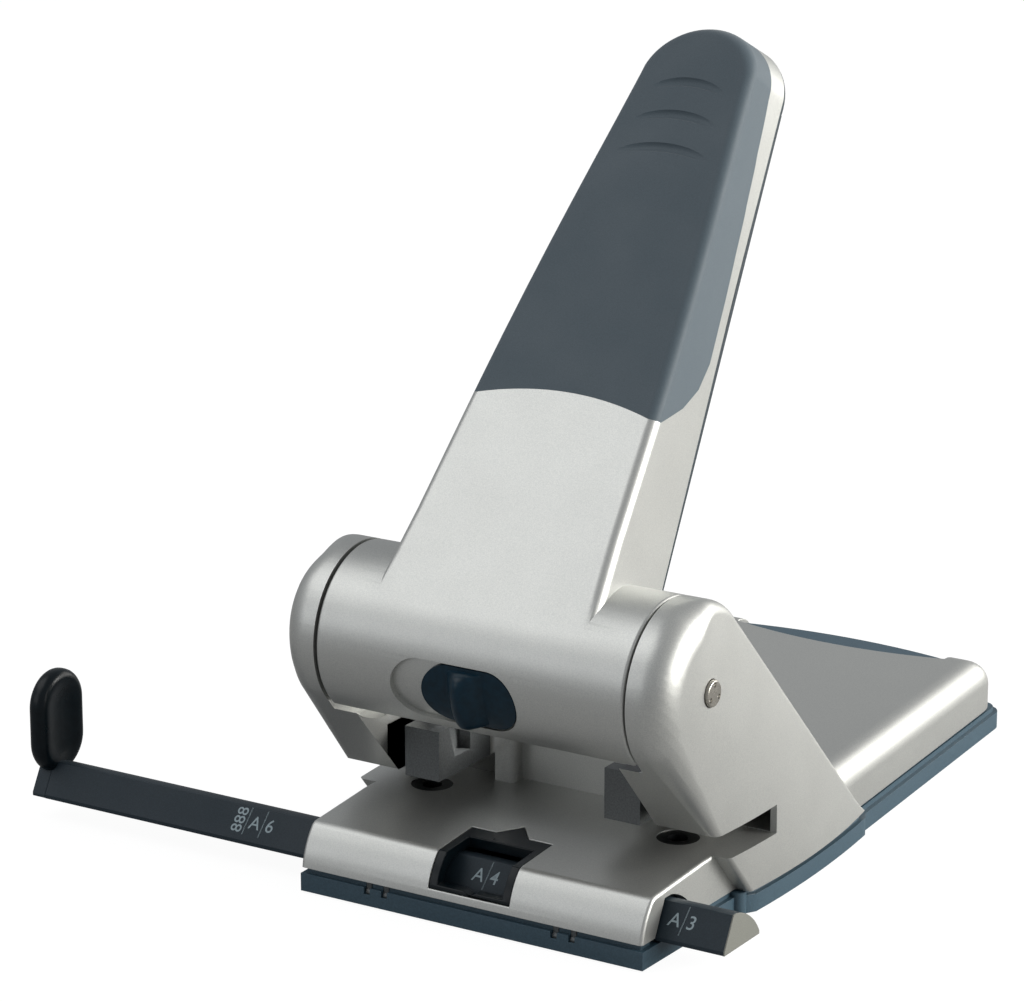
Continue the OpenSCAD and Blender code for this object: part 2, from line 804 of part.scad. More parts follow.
// The cam's edge is the involute of a circle that reaches from the pivot to the punch,
// so a flat punch head moves by the same amount for every degree of the lever
module cam() {
    reach = pivot_y;
    drop = pivot_z - head_top - loose;
    t0 = drop / reach;
    t_end = t0 + lever_travel * PI / 180 + 0.12;
    t_start = t0 - 0.3;
    steps = 24;
    edge = [for (i = [0:steps]) let (t = t_start + (t_end - t_start) * i / steps, a = (t - t0) * 180 / PI)
        reach * [cos(a), sin(a)] + reach * t * [sin(a), -cos(a)]];
    tab_r = barrel_r - barrel_t;
    translate([punch_x - 0.3, -pivot_y, pivot_z]) along_x(-cam_t / 2, cam_t / 2) difference() {
        union() {
            circle(r = sleeve_r + 6);
            polygon(concat(edge, [[21.2, -3.9], [14, 3], [0, sleeve_r + 5], [-sleeve_r - 2, -4], [2, -sleeve_r - 4]]));
            intersection() {
                circle(r = tab_r, $fn = 96);
                polygon([[0, 0], [-14, 30], [8, 30]]);
            }
        }
        circle(r = sleeve_r);
    }
}

module cam_right() {
    color("#8a8d91") cam();
}

module cam_left() {
    color("#8a8d91") mirror([1, 0, 0]) cam();
}

// ---- lock ----

module lock_place() {
    translate([0, -pivot_y, pivot_z]) rotate([lock_angle - 180, 0, 0]) children();
}

// Stadium seen from the front, drawn through the barrel's wall along Y
module stadium(x0, x1, h, r_out, r_in) {
    intersection() {
        rotate([90, 0, 0]) linear_extrude(60) {
            translate([x0 + h / 2, 0]) circle(r = h / 2);
            translate([x1 - h / 2, 0]) circle(r = h / 2);
            translate([x0 + h / 2, -h / 2]) square([x1 - x0 - h, h]);
        }
        along_x(x0 - 1, x1 + 1) difference() {
            circle(r = r_out, $fn = 96);
            circle(r = r_in, $fn = 96);
        }
    }
}

module lock_recess() {
    lock_place() stadium(-slider_right - lock_travel - 0.4, slider_right + 0.4, lock_h + 0.8, barrel_r + 1, barrel_r - recess_t);
    lock_place() translate([-slider_right - lock_travel + 8, -barrel_r - 1, -3.4]) cube([lock_travel + 8, barrel_t + 3, 6.8]);
    translate([-60, -pivot_y + bolt_ring * cos(lock_angle), pivot_z + bolt_ring * sin(lock_angle)])
        rotate([0, 90, 0]) cylinder(r = bolt_r + slide_fit, h = 20);
}

module lock_slider() {
    color("#0a2a3a") lock_place() union() {
        stadium(-slider_right, slider_right, lock_h, barrel_r - 0.5, barrel_r - recess_t + 0.1);
        // the upright thumb ridge
        difference() {
            intersection() {
                translate([-0.6, -barrel_r + 5.4, 0]) cylinder(r = 10.2, h = lock_h - 1.4, center = true);
                translate([-0.6 - 5, -barrel_r - 6, -lock_h]) cube([10, 9, 2 * lock_h]);
            }
            along_x(-20, 20) circle(r = barrel_r - 1, $fn = 96);
        }
        // stem that carries the bolt
        difference() {
            translate([-slider_right + 9, -barrel_r + recess_t / 2, -3]) cube([6, 10, 6]);
            translate([-60, -bolt_ring, 0]) rotate([0, 90, 0]) cylinder(r = bolt_r + 0.01, h = 120);
        }
    }
}

module lock_bolt() {
    color("#9fa3a7") translate([-barrel_hl + 0.3, -pivot_y + bolt_ring * cos(lock_angle), pivot_z + bolt_ring * sin(lock_angle)])
        rotate([0, 90, 0]) cylinder(r = bolt_r, h = barrel_hl - 1);
}

module lock_detent_spring() {
    t = 0.4;
    a = barrel_r - barrel_t;
    color("#a9adb0") lock_place() translate([8, 0, 0]) along_x(0, 5) difference() {
        intersection() {
            circle(r = a, $fn = 96);
            translate([-a - 1, -6]) square([a, 12]);
        }
        circle(r = a - t, $fn = 96);
    }
}

// ---- punches ----

module punch() {
    translate([punch_x, 0, 0]) difference() {
        union() {
            translate([0, 0, tip_z]) cylinder(r = punch_r, h = head_top - head_h - tip_z);
            translate([0, 0, head_top - head_h]) cylinder(r = head_r, h = head_h);
        }
        // hollow-ground cutting end
        translate([0, 0, tip_z - 0.2]) rotate([90, 0, 0])
            linear_extrude(20, center = true) polygon([[-punch_r - 1, -1], [punch_r + 1, -1], [0, 1.3]]);
    }
}

module punch_right() {
    color("#c3c6c9") punch();
}

module punch_left() {
    color("#c3c6c9") mirror([1, 0, 0]) punch();
}

// Helix swept as a tube: rings of points, each set square to the wire
module coil(r, wire, z0, z1, turns) {
    per_turn = 14;
    sides = 8;
    n = turns * per_turn;
    rise = (z1 - z0 - wire) / n;
    points = [for (i = [0:n], k = [0:sides - 1])
        let (a = i * 360 / per_turn, b = k * 360 / sides, rr = r + wire / 2 * cos(b))
        [rr * cos(a), rr * sin(a), z0 + wire / 2 + i * rise + wire / 2 * sin(b)]];
    walls = [for (i = [0:n - 1], k = [0:sides - 1])
        [i * sides + k, i * sides + (k + 1) % sides, (i + 1) * sides + (k + 1) % sides, (i + 1) * sides + k]];
    ends = [[for (k = [sides - 1:-1:0]) k], [for (k = [0:sides - 1]) n * sides + k]];
    polyhedron(points, concat(walls, ends));
}

module punch_spring_right() {
    color("#b4b7ba") translate([punch_x, 0, 0])
        coil(spring_r, spring_wire, spring_seat_z + 0.05, head_top - head_h - 0.05, spring_turns);
}

module punch_spring_left() {
    color("#b4b7ba") translate([-punch_x, 0, 0])
        coil(spring_r, spring_wire, spring_seat_z + 0.05, head_top - head_h - 0.05, spring_turns);
}

// ---- chip tray ----

function tray_curve(y) = cheek_out - 0.9 - (y - 32) * (y - 32) / 779;

module tray_plan(t) {
    corner_r = 6;
    end_y = deck_rear + 4.3;
    end_hw = tray_rear_hw - (end_y - corner_r - 80) * tan(deck_taper);
    right = concat([[front_hw + 0.2 - t, -tray_front + t], [front_hw + 1.4 - t, 3 + t], [tray_curve(9) - t, 9 + t]],
        [for (y = [16:6.5:75]) [tray_curve(y) - t, y]], [[tray_curve(77) - t, 77 - t], [tray_rear_hw - t, 80 - t]],
        [for (a = [deck_taper:12:90]) [end_hw - corner_r + (corner_r - t) * cos(a), end_y - corner_r + (corner_r - t) * sin(a)]],
        [[20, end_y + 0.9 - t]]);
    left = [for (i = [len(right) - 1:-1:0]) [-right[i][0], right[i][1]]];
    polygon(concat(right, left));
}

// Block at the tray's rear that fills the deck's finger opening
module thumb_block(t) {
    lean = 25;
    r = 180;
    intersection() {
        translate([-finger_hw + loose + t, finger_y - 1, tray_low]) cube([2 * (finger_hw - loose - t), 60, thumb_z - tray_low - t]);
        translate([0, finger_y + 13.2 - t, thumb_z]) rotate([lean, 0, 0]) translate([0, -r, -60]) cylinder(r = r, h = 90, $fn = 200);
    }
}

module chip_tray() {
    color("#2a3d4d") difference() {
        union() {
            translate([0, 0, tray_low]) linear_extrude(floor_t) tray_plan(0);
            difference() {
                translate([0, 0, tray_low]) linear_extrude(band_z - tray_low) tray_plan(0);
                translate([0, 0, tray_low - 1]) linear_extrude(20) tray_plan(tray_t);
            }
            difference() {
                translate([0, 0, tray_low]) linear_extrude(tray_rim_z - tray_low) tray_plan(tray_t - 0.2);
                translate([0, 0, tray_low - 1]) linear_extrude(20) tray_plan(2 * tray_t);
            }
            // hinge tabs and side clips
            for (s = [-1, 1]) {
                translate([s * hinge_x - tab_hw, -hinge_y - 0.6, tray_low]) cube([2 * tab_hw, 2.4, tray_rim_z - tray_low]);
                translate([s * (front_hw + 1.2), 5.5, tray_low]) cylinder(r = 2.4, h = tray_rim_z - tray_low);
            }
            intersection() {
                thumb_block(0);
                behind_finger_edge(loose);
                linear_extrude(40) tray_plan(0);
            }
        }
        difference() {
            thumb_block(tray_t);
            translate([-60, 0, 0]) cube([120, 300, tray_floor_z]);
        }
        // the rod passes over the rim
        translate([-80, -rod_front - 1.5, band_z]) cube([160, rod_front - rod_back + 3, 10]);
        // slots round the hinge lugs
        for (sx = [-1, 1], side = [-1, 1])
            translate([sx * hinge_x + side * (tab_hw + 0.2 + lug_t / 2) - lug_t / 2 - 0.2, -hinge_y - lug_r - 0.2, hinge_z - lug_r - 0.3])
                cube([lug_t + 0.4, 2 * lug_r + 2, 8]);
        for (sx = [-1, 1], side = [-1, 1])
            translate([sx * hinge_x + side * (tab_hw + 0.2 + lug_t / 2) - lug_t / 2 - 0.2, -tray_front - 1, hinge_z - 0.3])
                cube([lug_t + 0.4, 4, 8]);
        for (s = [-1, 1]) translate([s * hinge_x - 5, -hinge_y, hinge_z]) rotate([0, 90, 0])
            cylinder(r = hinge_pin_r + slide_fit, h = 10);
        foot_strip(0.05);
        round_feet(0.05);
    }
}

module foot_strip(gap) {
    translate([-strip_len / 2 - gap, -strip_w / 2 - gap, 0])
        cube([strip_len + 2 * gap, strip_w + 2 * gap, tray_low + foot_sink]);
}

module round_feet(gap) {
    for (s = [-1, 1]) translate([s * foot_x, deck_rear - foot_back, 0])
        cylinder(r = foot_r + gap, h = tray_low + foot_sink);
}

module rubber_strip() {
    color("#1a1a1a") foot_strip(0);
}

module rubber_feet() {
    color("#1a1a1a") round_feet(0);
}

module tray_hinge_pins() {
    color("#a9adb0") for (s = [-1, 1])
        translate([s * hinge_x - tab_hw - 0.2 - lug_t, -hinge_y, hinge_z]) rotate([0, 90, 0])
            cylinder(r = hinge_pin_r, h = 2 * (tab_hw + 0.2 + lug_t));
}

base_casting();
rear_deck();
deck_screws();
window_bezel();
rod_channel();
rod_detent_spring();
die_bush_left();
die_bush_right();
pivot_pin();
lever_arm();
grip_pad();
lever_back_cover();
lever_cover_screws();
pivot_sleeve();
cam_left();
cam_right();
lock_slider();
lock_bolt();
lock_detent_spring();
punch_left();
punch_right();
punch_spring_left();
punch_spring_right();
guide_rod();
rod_end_cap();
stop_paddle();
chip_tray();
tray_hinge_pins();
rubber_strip();
rubber_feet();
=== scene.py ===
import bpy
import bmesh
from math import sin, cos, radians, pi, atan2
from mathutils import Matrix, Vector


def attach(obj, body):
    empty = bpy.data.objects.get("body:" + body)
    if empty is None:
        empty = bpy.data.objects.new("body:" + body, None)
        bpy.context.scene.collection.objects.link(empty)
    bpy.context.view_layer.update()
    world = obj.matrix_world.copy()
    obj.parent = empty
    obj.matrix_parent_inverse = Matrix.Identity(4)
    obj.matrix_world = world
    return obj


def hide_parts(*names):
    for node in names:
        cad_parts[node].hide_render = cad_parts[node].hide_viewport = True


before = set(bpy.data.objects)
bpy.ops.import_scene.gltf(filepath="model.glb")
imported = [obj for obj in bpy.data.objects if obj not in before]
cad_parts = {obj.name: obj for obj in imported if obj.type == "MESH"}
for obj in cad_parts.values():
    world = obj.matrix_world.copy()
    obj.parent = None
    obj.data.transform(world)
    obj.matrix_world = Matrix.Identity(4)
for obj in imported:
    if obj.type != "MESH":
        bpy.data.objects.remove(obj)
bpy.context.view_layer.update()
scene = bpy.context.scene
print("frame loaded")


# small helpers: everything is shaped in millimetres and turned to metres at the end

def newObject(name, bm):
    mesh = bpy.data.meshes.new(name)
    bm.to_mesh(mesh)
    bm.free()
    obj = bpy.data.objects.new(name, mesh)
    scene.collection.objects.link(obj)
    return obj


def remakeMesh(obj, work):
    bm = bmesh.new()
    bm.from_mesh(obj.data)
    result = work(bm)
    bm.to_mesh(obj.data)
    bm.free()
    obj.data.update()
    return result


def drawn(points, axis, start, end):
    # a flat outline pushed out along one axis; its two numbers are the other axes in order
    along = "xyz".index(axis)
    bm = bmesh.new()
    corners = []
    for p in points:
        spot = list(p)
        spot.insert(along, start)
        corners.append(bm.verts.new(spot))
    moved = bmesh.ops.extrude_face_region(bm, geom=[bm.faces.new(corners)])
    push = Vector((0, 0, 0))
    push[along] = end - start
    bmesh.ops.translate(bm, vec=push, verts=[g for g in moved["geom"] if isinstance(g, bmesh.types.BMVert)])
    bmesh.ops.recalc_face_normals(bm, faces=bm.faces)
    return bm


def rounded(bm, chosen, offset, segments=4):
    edges = [e for e in bm.edges if chosen(e)]
    if edges:
        bmesh.ops.bevel(bm, geom=edges, offset=offset, offset_type="OFFSET", affect="EDGES",
                        segments=segments, profile=0.5, clamp_overlap=True, material=-1)


def closed(bm):
    bmesh.ops.holes_fill(bm, edges=[e for e in bm.edges if len(e.link_faces) == 1], sides=0)


def sliced(bm, co, no, clear=False):
    # a flat cut through the whole shape; with clear, what lies beyond it goes and the cut is closed
    bmesh.ops.bisect_plane(bm, geom=bm.verts[:] + bm.edges[:] + bm.faces[:], dist=0.0001, plane_co=co,
                           plane_no=no, clear_outer=clear)
    if clear:
        closed(bm)


def sharpness(e):
    return e.calc_face_angle(0) if len(e.link_faces) == 2 else 0


def mid(e):
    return (e.verts[0].co + e.verts[1].co) / 2


def both(e, test):
    return test(e.verts[0].co) and test(e.verts[1].co)


def combined(target, tool, operation="DIFFERENCE"):
    mod = target.modifiers.new("cut", "BOOLEAN")
    mod.solver = "EXACT"
    mod.operation = operation
    mod.object = tool
    bpy.context.view_layer.update()
    done = target.evaluated_get(bpy.context.evaluated_depsgraph_get())
    mesh = bpy.data.meshes.new_from_object(done)
    target.modifiers.clear()
    target.data = mesh
    bpy.data.objects.remove(tool)
    return target


def fromCad(node, name):
    # a merged copy of a CAD node, in millimetres, flat areas made whole again
    obj = bpy.data.objects.new(name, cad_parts[node].data.copy())
    scene.collection.objects.link(obj)

    def work(bm):
        bmesh.ops.scale(bm, vec=(1000, 1000, 1000), verts=bm.verts)
        bmesh.ops.remove_doubles(bm, verts=bm.verts, dist=0.002)
        bmesh.ops.dissolve_limit(bm, angle_limit=radians(0.4), verts=bm.verts, edges=bm.edges, delimit=set())
        for f in bm.faces:
            f.material_index = 0
    remakeMesh(obj, work)
    return obj


def finished(obj, body, material, stands=(), angle=32, weighted=True):
    # metres, smooth faces with crisp edges, then riding on its body
    obj.data.materials.clear()
    obj.data.materials.append(material)
    remakeMesh(obj, lambda bm: bmesh.ops.scale(bm, vec=(0.001, 0.001, 0.001), verts=bm.verts))
    for poly in obj.data.polygons:
        poly.use_smooth = True
        poly.material_index = 0
    obj.data.set_sharp_from_angle(angle=radians(angle))
    if weighted:
        mod = obj.modifiers.new("softNormals", "WEIGHTED_NORMAL")
        mod.keep_sharp = True
        mod.weight = 60
    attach(obj, body)
    if stands:
        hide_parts(*stands)


# materials

def linear(hexColour):
    parts = [int(hexColour[i:i + 2], 16) / 255 for i in (1, 3, 5)]
    return tuple(c / 12.92 if c <= 0.04045 else ((c + 0.055) / 1.055) ** 2.4 for c in parts) + (1,)


def addNode(tree, kind, links=(), inputs=None, **settings):
    node = tree.nodes.new(kind)
    for key, value in settings.items():
        setattr(node, key, value)
    for socket, amount in (inputs or {}).items():
        node.inputs[socket].default_value = amount
    for socket, source in links:
        tree.links.new(source, node.inputs[socket])
    return node


specks = {"detail": 2.0, "roughness": 0.6, "from": 0.35, "to": 0.65}  # fine grain, in colour and relief
clouds = {"detail": 3.0, "roughness": 0.5, "from": 0.3, "to": 0.7}  # slow changes of the gloss
plasticIor = 1.5


def surface(name, colour, second, grain, roughness, metallic=0.0, bump=0.05, relief=0.03, mottle=20,
            spread=0.05, coat=0.0, coatRoughness=0.1, sheen=0.0, specular=0.5):
    # in mm: grain is the size of one speck, relief its height, mottle the size of the clouds
    mat = bpy.data.materials.new(name)
    mat.use_nodes = True
    tree = mat.node_tree
    shader = tree.nodes["Principled BSDF"]
    place = addNode(tree, "ShaderNodeTexCoord").outputs["Object"]
    fine = addNode(tree, "ShaderNodeTexNoise", [("Vector", place)],
                   {"Scale": 1000 / grain, "Detail": specks["detail"], "Roughness": specks["roughness"]})
    slow = addNode(tree, "ShaderNodeTexNoise", [("Vector", place)],
                   {"Scale": 1000 / mottle, "Detail": clouds["detail"], "Roughness": clouds["roughness"]})
    ramp = addNode(tree, "ShaderNodeValToRGB", [("Fac", fine.outputs["Fac"])])
    for stop, at, tone in zip(ramp.color_ramp.elements, (specks["from"], specks["to"]), (colour, second)):
        stop.position = at
        stop.color = linear(tone)
    rough = addNode(tree, "ShaderNodeMapRange", [("Value", slow.outputs["Fac"])],
                    {"From Min": clouds["from"], "From Max": clouds["to"],
                     "To Min": roughness - spread, "To Max": roughness + spread})
    raised = addNode(tree, "ShaderNodeBump", [("Height", fine.outputs["Fac"])],
                     {"Strength": bump, "Distance": relief / 1000})
    tree.links.new(ramp.outputs["Color"], shader.inputs["Base Color"])
    tree.links.new(rough.outputs["Result"], shader.inputs["Roughness"])
    tree.links.new(raised.outputs["Normal"], shader.inputs["Normal"])
    shader.inputs["Metallic"].default_value = metallic
    shader.inputs["Coat Weight"].default_value = coat
    shader.inputs["Coat Roughness"].default_value = coatRoughness
    shader.inputs["Sheen Weight"].default_value = sheen
    shader.inputs["Specular IOR Level"].default_value = specular
    if metallic < 0.5:
        shader.inputs["IOR"].default_value = plasticIor
    return mat


# die-cast zinc under silver lacquer: flakes of about 0.1 mm, drawn at 0.32 mm so that they show,
# give a bright, blurred and slightly sparkling silver
silverLacquer = surface("silverLacquerOnZinc", "#b0b1af", "#bebfbb", 0.32, 0.42, metallic=0.84, bump=0.10,
                        relief=0.04, mottle=12, spread=0.012, coat=0.08, coatRoughness=0.35)
# soft-touch TPE of the grip: a matt, slightly velvety slate with a grain of 0.25 mm
softGrip = surface("softTouchTpe", "#3e4a52", "#46535b", 0.25, 0.62, bump=0.12, relief=0.04, sheen=0.15,
                   specular=0.4)
# moulded ABS of the tray: a satin navy that greys where it catches the light
navyAbs = surface("mouldedNavyAbs", "#30444f", "#384e5b", 0.4, 0.42, bump=0.08, mottle=15)
# moulded ABS with an eroded finish of about 0.3 mm: blue black and dull
grainedAbs = surface("grainedBlackAbs", "#17232b", "#1f2d36", 0.3, 0.55, specular=0.35, bump=0.3, relief=0.06)
# polished ABS of the window frame and the sheet stop: deep black with small highlights
glossAbs = surface("polishedBlackAbs", "#050d12", "#081217", 2, 0.3, bump=0.02, mottle=10, spread=0.03,
                   specular=0.2)
# polished ABS of the lock slider: dark petrol blue with a soft highlight along the ridge
petrolAbs = surface("polishedPetrolAbs", "#041d29", "#062432", 2, 0.34, bump=0.02, mottle=10, spread=0.04,
                    specular=0.22)
# turned and nickel-plated steel: bright and a little warm
platedSteel = surface("nickelPlatedSteel", "#a9a59c", "#b7b3aa", 0.6, 0.28, metallic=1.0, bump=0.1, mottle=4)
# hardened and ground tool steel: bright and cool
groundSteel = surface("groundToolSteel", "#9b9fa3", "#b4b7ba", 0.5, 0.22, metallic=1.0, bump=0.08, mottle=5)
# zinc casting inside the throat and at the hinge, darkened as painted shade: dark and dull
paintedShadeZinc = surface("zincDarkenedAsShade", "#5a5d5e", "#686b6c", 0.5, 0.5, metallic=0.7, bump=0.2, mottle=6)
# drawn spring steel: grey with a fine sheen
springSteel = surface("drawnSpringSteel", "#85888b", "#989b9e", 0.6, 0.3, metallic=1.0, bump=0.1, mottle=4)
# steel of the die bushes and the hinge pins, darkened nearly black, with metal highlights; on the die bushes
# the dark is painted shade for the shadow under the blocks
shadeDarkenedSteel = surface("steelDarkenedAsShade", "#2b2d2f", "#37393b", 0.5, 0.4, metallic=1.0, bump=0.1, mottle=4)
# cut end of the rod: rougher and paler than its moulded skin
cutAbs = surface("cutAbs", "#686963", "#73746d", 0.3, 0.55, bump=0.25, relief=0.05, mottle=6)
# sintered bronze of the pivot sleeve: brown gold and porous
sinteredBronze = surface("sinteredBronze", "#8a7046", "#9c8254", 0.5, 0.4, metallic=1.0, bump=0.3, mottle=4)
# nitrile rubber of the strip and the feet: black without a highlight
footRubber = surface("nitrileRubber", "#151617", "#1e2021", 0.5, 0.75, bump=0.3, mottle=10, specular=0.3)
# screen-printed marks: a thin pale grey film
printInk = surface("screenPrintInk", "#87969c", "#93a2a8", 0.5, 0.55, mottle=10)
print("materials made")


# sizes that several pieces share, in mm, as in the part's source
pivot = Vector((0, -20.5, 72.4))
barrel = {"radius": 24.3, "halfLength": 48.35, "wall": 2.5, "endRounding": 0.9, "segments": 96}
# bores at each punch, as radius, low and high: seat of the die bush, punch, room of the spring
punch = {"x": 40, "bores": ((6, 10, 30), (2.8, 28, 70), (5.2, 35.5, 96))}
bolt = {"angle": 195.5, "out": 16.8, "leverBore": 2.3, "seatBore": 2.5, "seats": (0, 35)}


def boltCentre(turn=0):
    # where the lock bolt's axis lies with the lever pressed down by turn degrees
    angle = radians(bolt["angle"] - turn)
    return pivot.y + bolt["out"] * cos(angle), pivot.z + bolt["out"] * sin(angle)


def arc(a, b, bulge, steps):
    # points from a to b that bow to the left of the way by bulge
    a, b = Vector(a), Vector(b)
    d = b - a
    half = d.length / 2
    r = (half * half + bulge * bulge) / (2 * bulge)
    left = Vector((-d.y, d.x)).normalized()
    centre = (a + b) / 2 + left * (bulge - r)
    a0 = atan2(a.y - centre.y, a.x - centre.x)
    a1 = atan2(b.y - centre.y, b.x - centre.x)
    sweep = (a1 - a0 + 3 * pi) % (2 * pi) - pi
    turns = [a0 + sweep * i / steps for i in range(steps + 1)]
    return [(centre.x + abs(r) * cos(a), centre.y + abs(r) * sin(a)) for a in turns]


def boxTool(low, high):
    bm = bmesh.new()
    size = [b - a for a, b in zip(low, high)]
    centre = [(a + b) / 2 for a, b in zip(low, high)]
    bmesh.ops.create_cube(bm, size=1, matrix=Matrix.Translation(centre) @ Matrix.Diagonal((*size, 1)))
    return newObject("tool", bm)


def barTool(radius, x0, x1, y, z, segments=48):
    bm = bmesh.new()
    place = Matrix.Translation(((x0 + x1) / 2, y, z)) @ Matrix.Rotation(pi / 2, 4, "Y")
    bmesh.ops.create_cone(bm, cap_ends=True, segments=segments, radius1=radius, radius2=radius,
                          depth=x1 - x0, matrix=place)
    return newObject("tool", bm)


def uprightTool(radius, x, y, z0, z1, segments=48):
    bm = bmesh.new()
    bmesh.ops.create_cone(bm, cap_ends=True, segments=segments, radius1=radius, radius2=radius,
                          depth=z1 - z0, matrix=Matrix.Translation((x, y, (z0 + z1) / 2)))
    return newObject("tool", bm)


def ringed(rings):
    # closed rings of equal length joined into one skin, with a lid on each end
    bm = bmesh.new()
    verts = [[bm.verts.new(p) for p in ring] for ring in rings]
    n = len(verts[0])
    for low, high in zip(verts, verts[1:]):
        for i in range(n):
            bm.faces.new((low[i], low[(i + 1) % n], high[(i + 1) % n], high[i]))
    bm.faces.new(verts[0][::-1])
    bm.faces.new(verts[-1])
    bmesh.ops.recalc_face_normals(bm, faces=bm.faces)
    return bm


# front plate
plate = {"halfFront": 54.6, "halfRear": 55.6, "innerHalf": 52, "frontY": -44.3, "lip": 7.65, "creaseY": -38.3,
         "creaseZ": 19.4, "kneeY": -12.0, "top": 21.2, "rear": 20.0, "wall": 3.0, "bulge": 1.1,
         "creaseRounding": 1.2, "sideRounding": 1.1, "flareLength": 64, "rodGap": 0.9}
window = {"half": 13, "back": -21.2, "point": 6.4, "pointHalf": 5.3, "low": 9.8, "high": 30, "rounding": 0.25}


def plateOutline(inset):
    front = arc((plate["frontY"] + inset, plate["lip"]),
                (plate["creaseY"] + 0.75 * inset, plate["creaseZ"] - inset), plate["bulge"], 8)
    return front + [(plate["kneeY"], plate["top"] - inset), (plate["rear"], plate["top"] - inset)]


def makePlateForm():
    half = plate["halfFront"]
    bm = drawn(plateOutline(0) + [(plate["rear"], plate["lip"])], "x", -half, half)
    for v in bm.verts:
        v.co.x *= 1 + (plate["halfRear"] / half - 1) * (v.co.y - plate["frontY"]) / plate["flareLength"]

    def onCrease(c):
        return abs(c.y - plate["creaseY"]) < 0.01 and abs(c.z - plate["creaseZ"]) < 0.01

    def onSide(c):
        return abs(c.x) > 54 and c.z > plate["lip"] + 0.2 and c.y < plate["rear"] - 0.1
    rounded(bm, lambda e: both(e, onCrease) and abs(mid(e).x) < 1, plate["creaseRounding"], 4)
    rounded(bm, lambda e: onSide(mid(e)) and sharpness(e) > radians(50), plate["sideRounding"], 4)
    shell = newObject("baseShell", bm)
    inside = plateOutline(plate["wall"]) + [(plate["rear"] + 1, plate["top"] - plate["wall"]),
                                            (plate["rear"] + 1, -1), (plate["frontY"] + 3, -1)]
    inner = drawn(inside, "x", -plate["innerHalf"], plate["innerHalf"])
    return combined(shell, newObject("tool", inner))


def windowPoints():
    # a cut open to the front whose back edge points at the mark that is set
    half, back, side = window["half"], window["back"], window["pointHalf"]
    return [(-half, back), (-side, back), (0, back + window["point"]), (side, back), (half, back),
            (half, -50), (-half, -50)]


rod = {"front": -36.6, "rear": -17.6, "low": 6.6, "step": 7.8, "high": 16.6, "topFront": -31.8,
       "topRear": -30.1, "rearLow": 7.6, "hollow": -1.7}


def rodPoints(gap):
    # the rod's section, or with a gap the opening that it slides through
    front, rear = rod["front"] - gap, rod["rear"] + gap
    low, high = rod["low"] - gap, rod["high"] + gap
    back = arc((rear, rod["rearLow"]), (rod["topRear"] + gap, high), rod["hollow"], 10)
    return [(front, low), (rear, low)] + back + [(rod["topFront"] - gap, high), (front, rod["step"])]


# the cheeks; rims gives the roll of the outer rim at each angle around the pivot
cheek = {"inner": 49.1, "outer": 61.3, "dome": 146.0, "across": 28.0, "slice": 2.2, "lean": 41.9,
         "rearLean": 45.0, "bottom": 7.65, "footInner": 41.7, "footRounding": 4.0, "pinBore": 3.95,
         "rims": [(45, 2.4), (75, 3.6), (110, 9.0), (140, 8.6), (170, 8.4), (200, 8.0), (222, 7.0)],
         "frontRim": 1.1, "deckRoom": ((45.2, 12, -1), (57.2, 62, 17.4)),
         "aboveFoot": [(-100, 110), (-100, 74), (-60, 64), (-12, 52), (-2, 44), (20, 44), (20, -10),
                       (120, -10), (120, 110)],
         "belowFoot": [(-100, -10), (20, -10), (20, 14), (17, 14), (17, 21.2), (-100, 21.2)]}
slot = {"low": 21.2, "high": 29.5, "end": 17.0, "cornerY": -14.65, "rounding": 1.0, "lip": 0.6,
        "roomInner": 50.5, "roomOuter": 59.3, "roomLength": 19}


def cheekRing(steps=72):
    # points of the cheek's side view with the rim's roll at each: (y, z, roll)
    r = barrel["radius"]
    lean, rear = radians(cheek["lean"]), radians(cheek["rearLean"])
    low = cheek["bottom"] - 6
    table = cheek["rims"]

    def rim(a):
        for (a0, r0), (a1, r1) in zip(table, table[1:]):
            if a <= a1:
                t = max(0, (a - a0) / (a1 - a0))
                return r0 + (r1 - r0) * t * t * (3 - 2 * t)
        return table[-1][1]
    points = []
    for i in range(steps + 1):
        a = rear + (pi + lean - rear) * i / steps
        points.append((pivot.y + r * cos(a), pivot.z + r * sin(a), rim(a * 180 / pi)))
    y, z, roll = points[-1]
    frontLow = y + (z - low) * sin(lean) / cos(lean)
    for t in [i / 10 for i in range(1, 11)]:
        narrowed = roll + (cheek["frontRim"] - roll) * min(1, t * 1.6)
        points.append((y + (frontLow - y) * t, z + (low - z) * t, narrowed))
    y, z, roll = points[0]
    rearLow = y + (z - low)
    points += [(rearLow + (y - rearLow) * t, low + (z - low) * t, roll) for t in [i / 8 for i in range(8)]]
    return points


def rolled(ring, start, end, steps=9):
    # the outline at each level, drawn in along its own normals as the rim rolls over
    inward = []
    for i in range(len(ring)):
        ay, az = ring[i - 1][:2]
        by, bz = ring[(i + 1) % len(ring)][:2]
        d = Vector((by - ay, bz - az)).normalized()
        inward.append(Vector((-d.y, d.x)))
    rings = [[(start, y, z) for y, z, roll in ring]]
    for k in range(steps + 1):
        f = pi / 2 * k / steps
        rings.append([(end - roll * (1 - sin(f)), y + way.x * roll * (1 - cos(f)),
                       z + way.y * roll * (1 - cos(f))) for way, (y, z, roll) in zip(inward, ring)])
    return ringed(rings)


def slotOutline(lean):
    # the slot for the sheets, its roof rounded where it meets the leaning front
    corner = Vector((slot["cornerY"], slot["high"]))
    a = corner + Vector((slot["rounding"], 0))
    c = corner + Vector((-sin(lean), cos(lean))) * slot["rounding"]
    curve = [a * (1 - t) ** 2 + corner * 2 * t * (1 - t) + c * t * t for t in [i / 6 for i in range(7)]]
    return [(slot["end"], slot["low"]), (slot["end"], slot["high"])] + [tuple(p) for p in curve] \
        + [(-60, c.y + 12), (-60, slot["low"])]


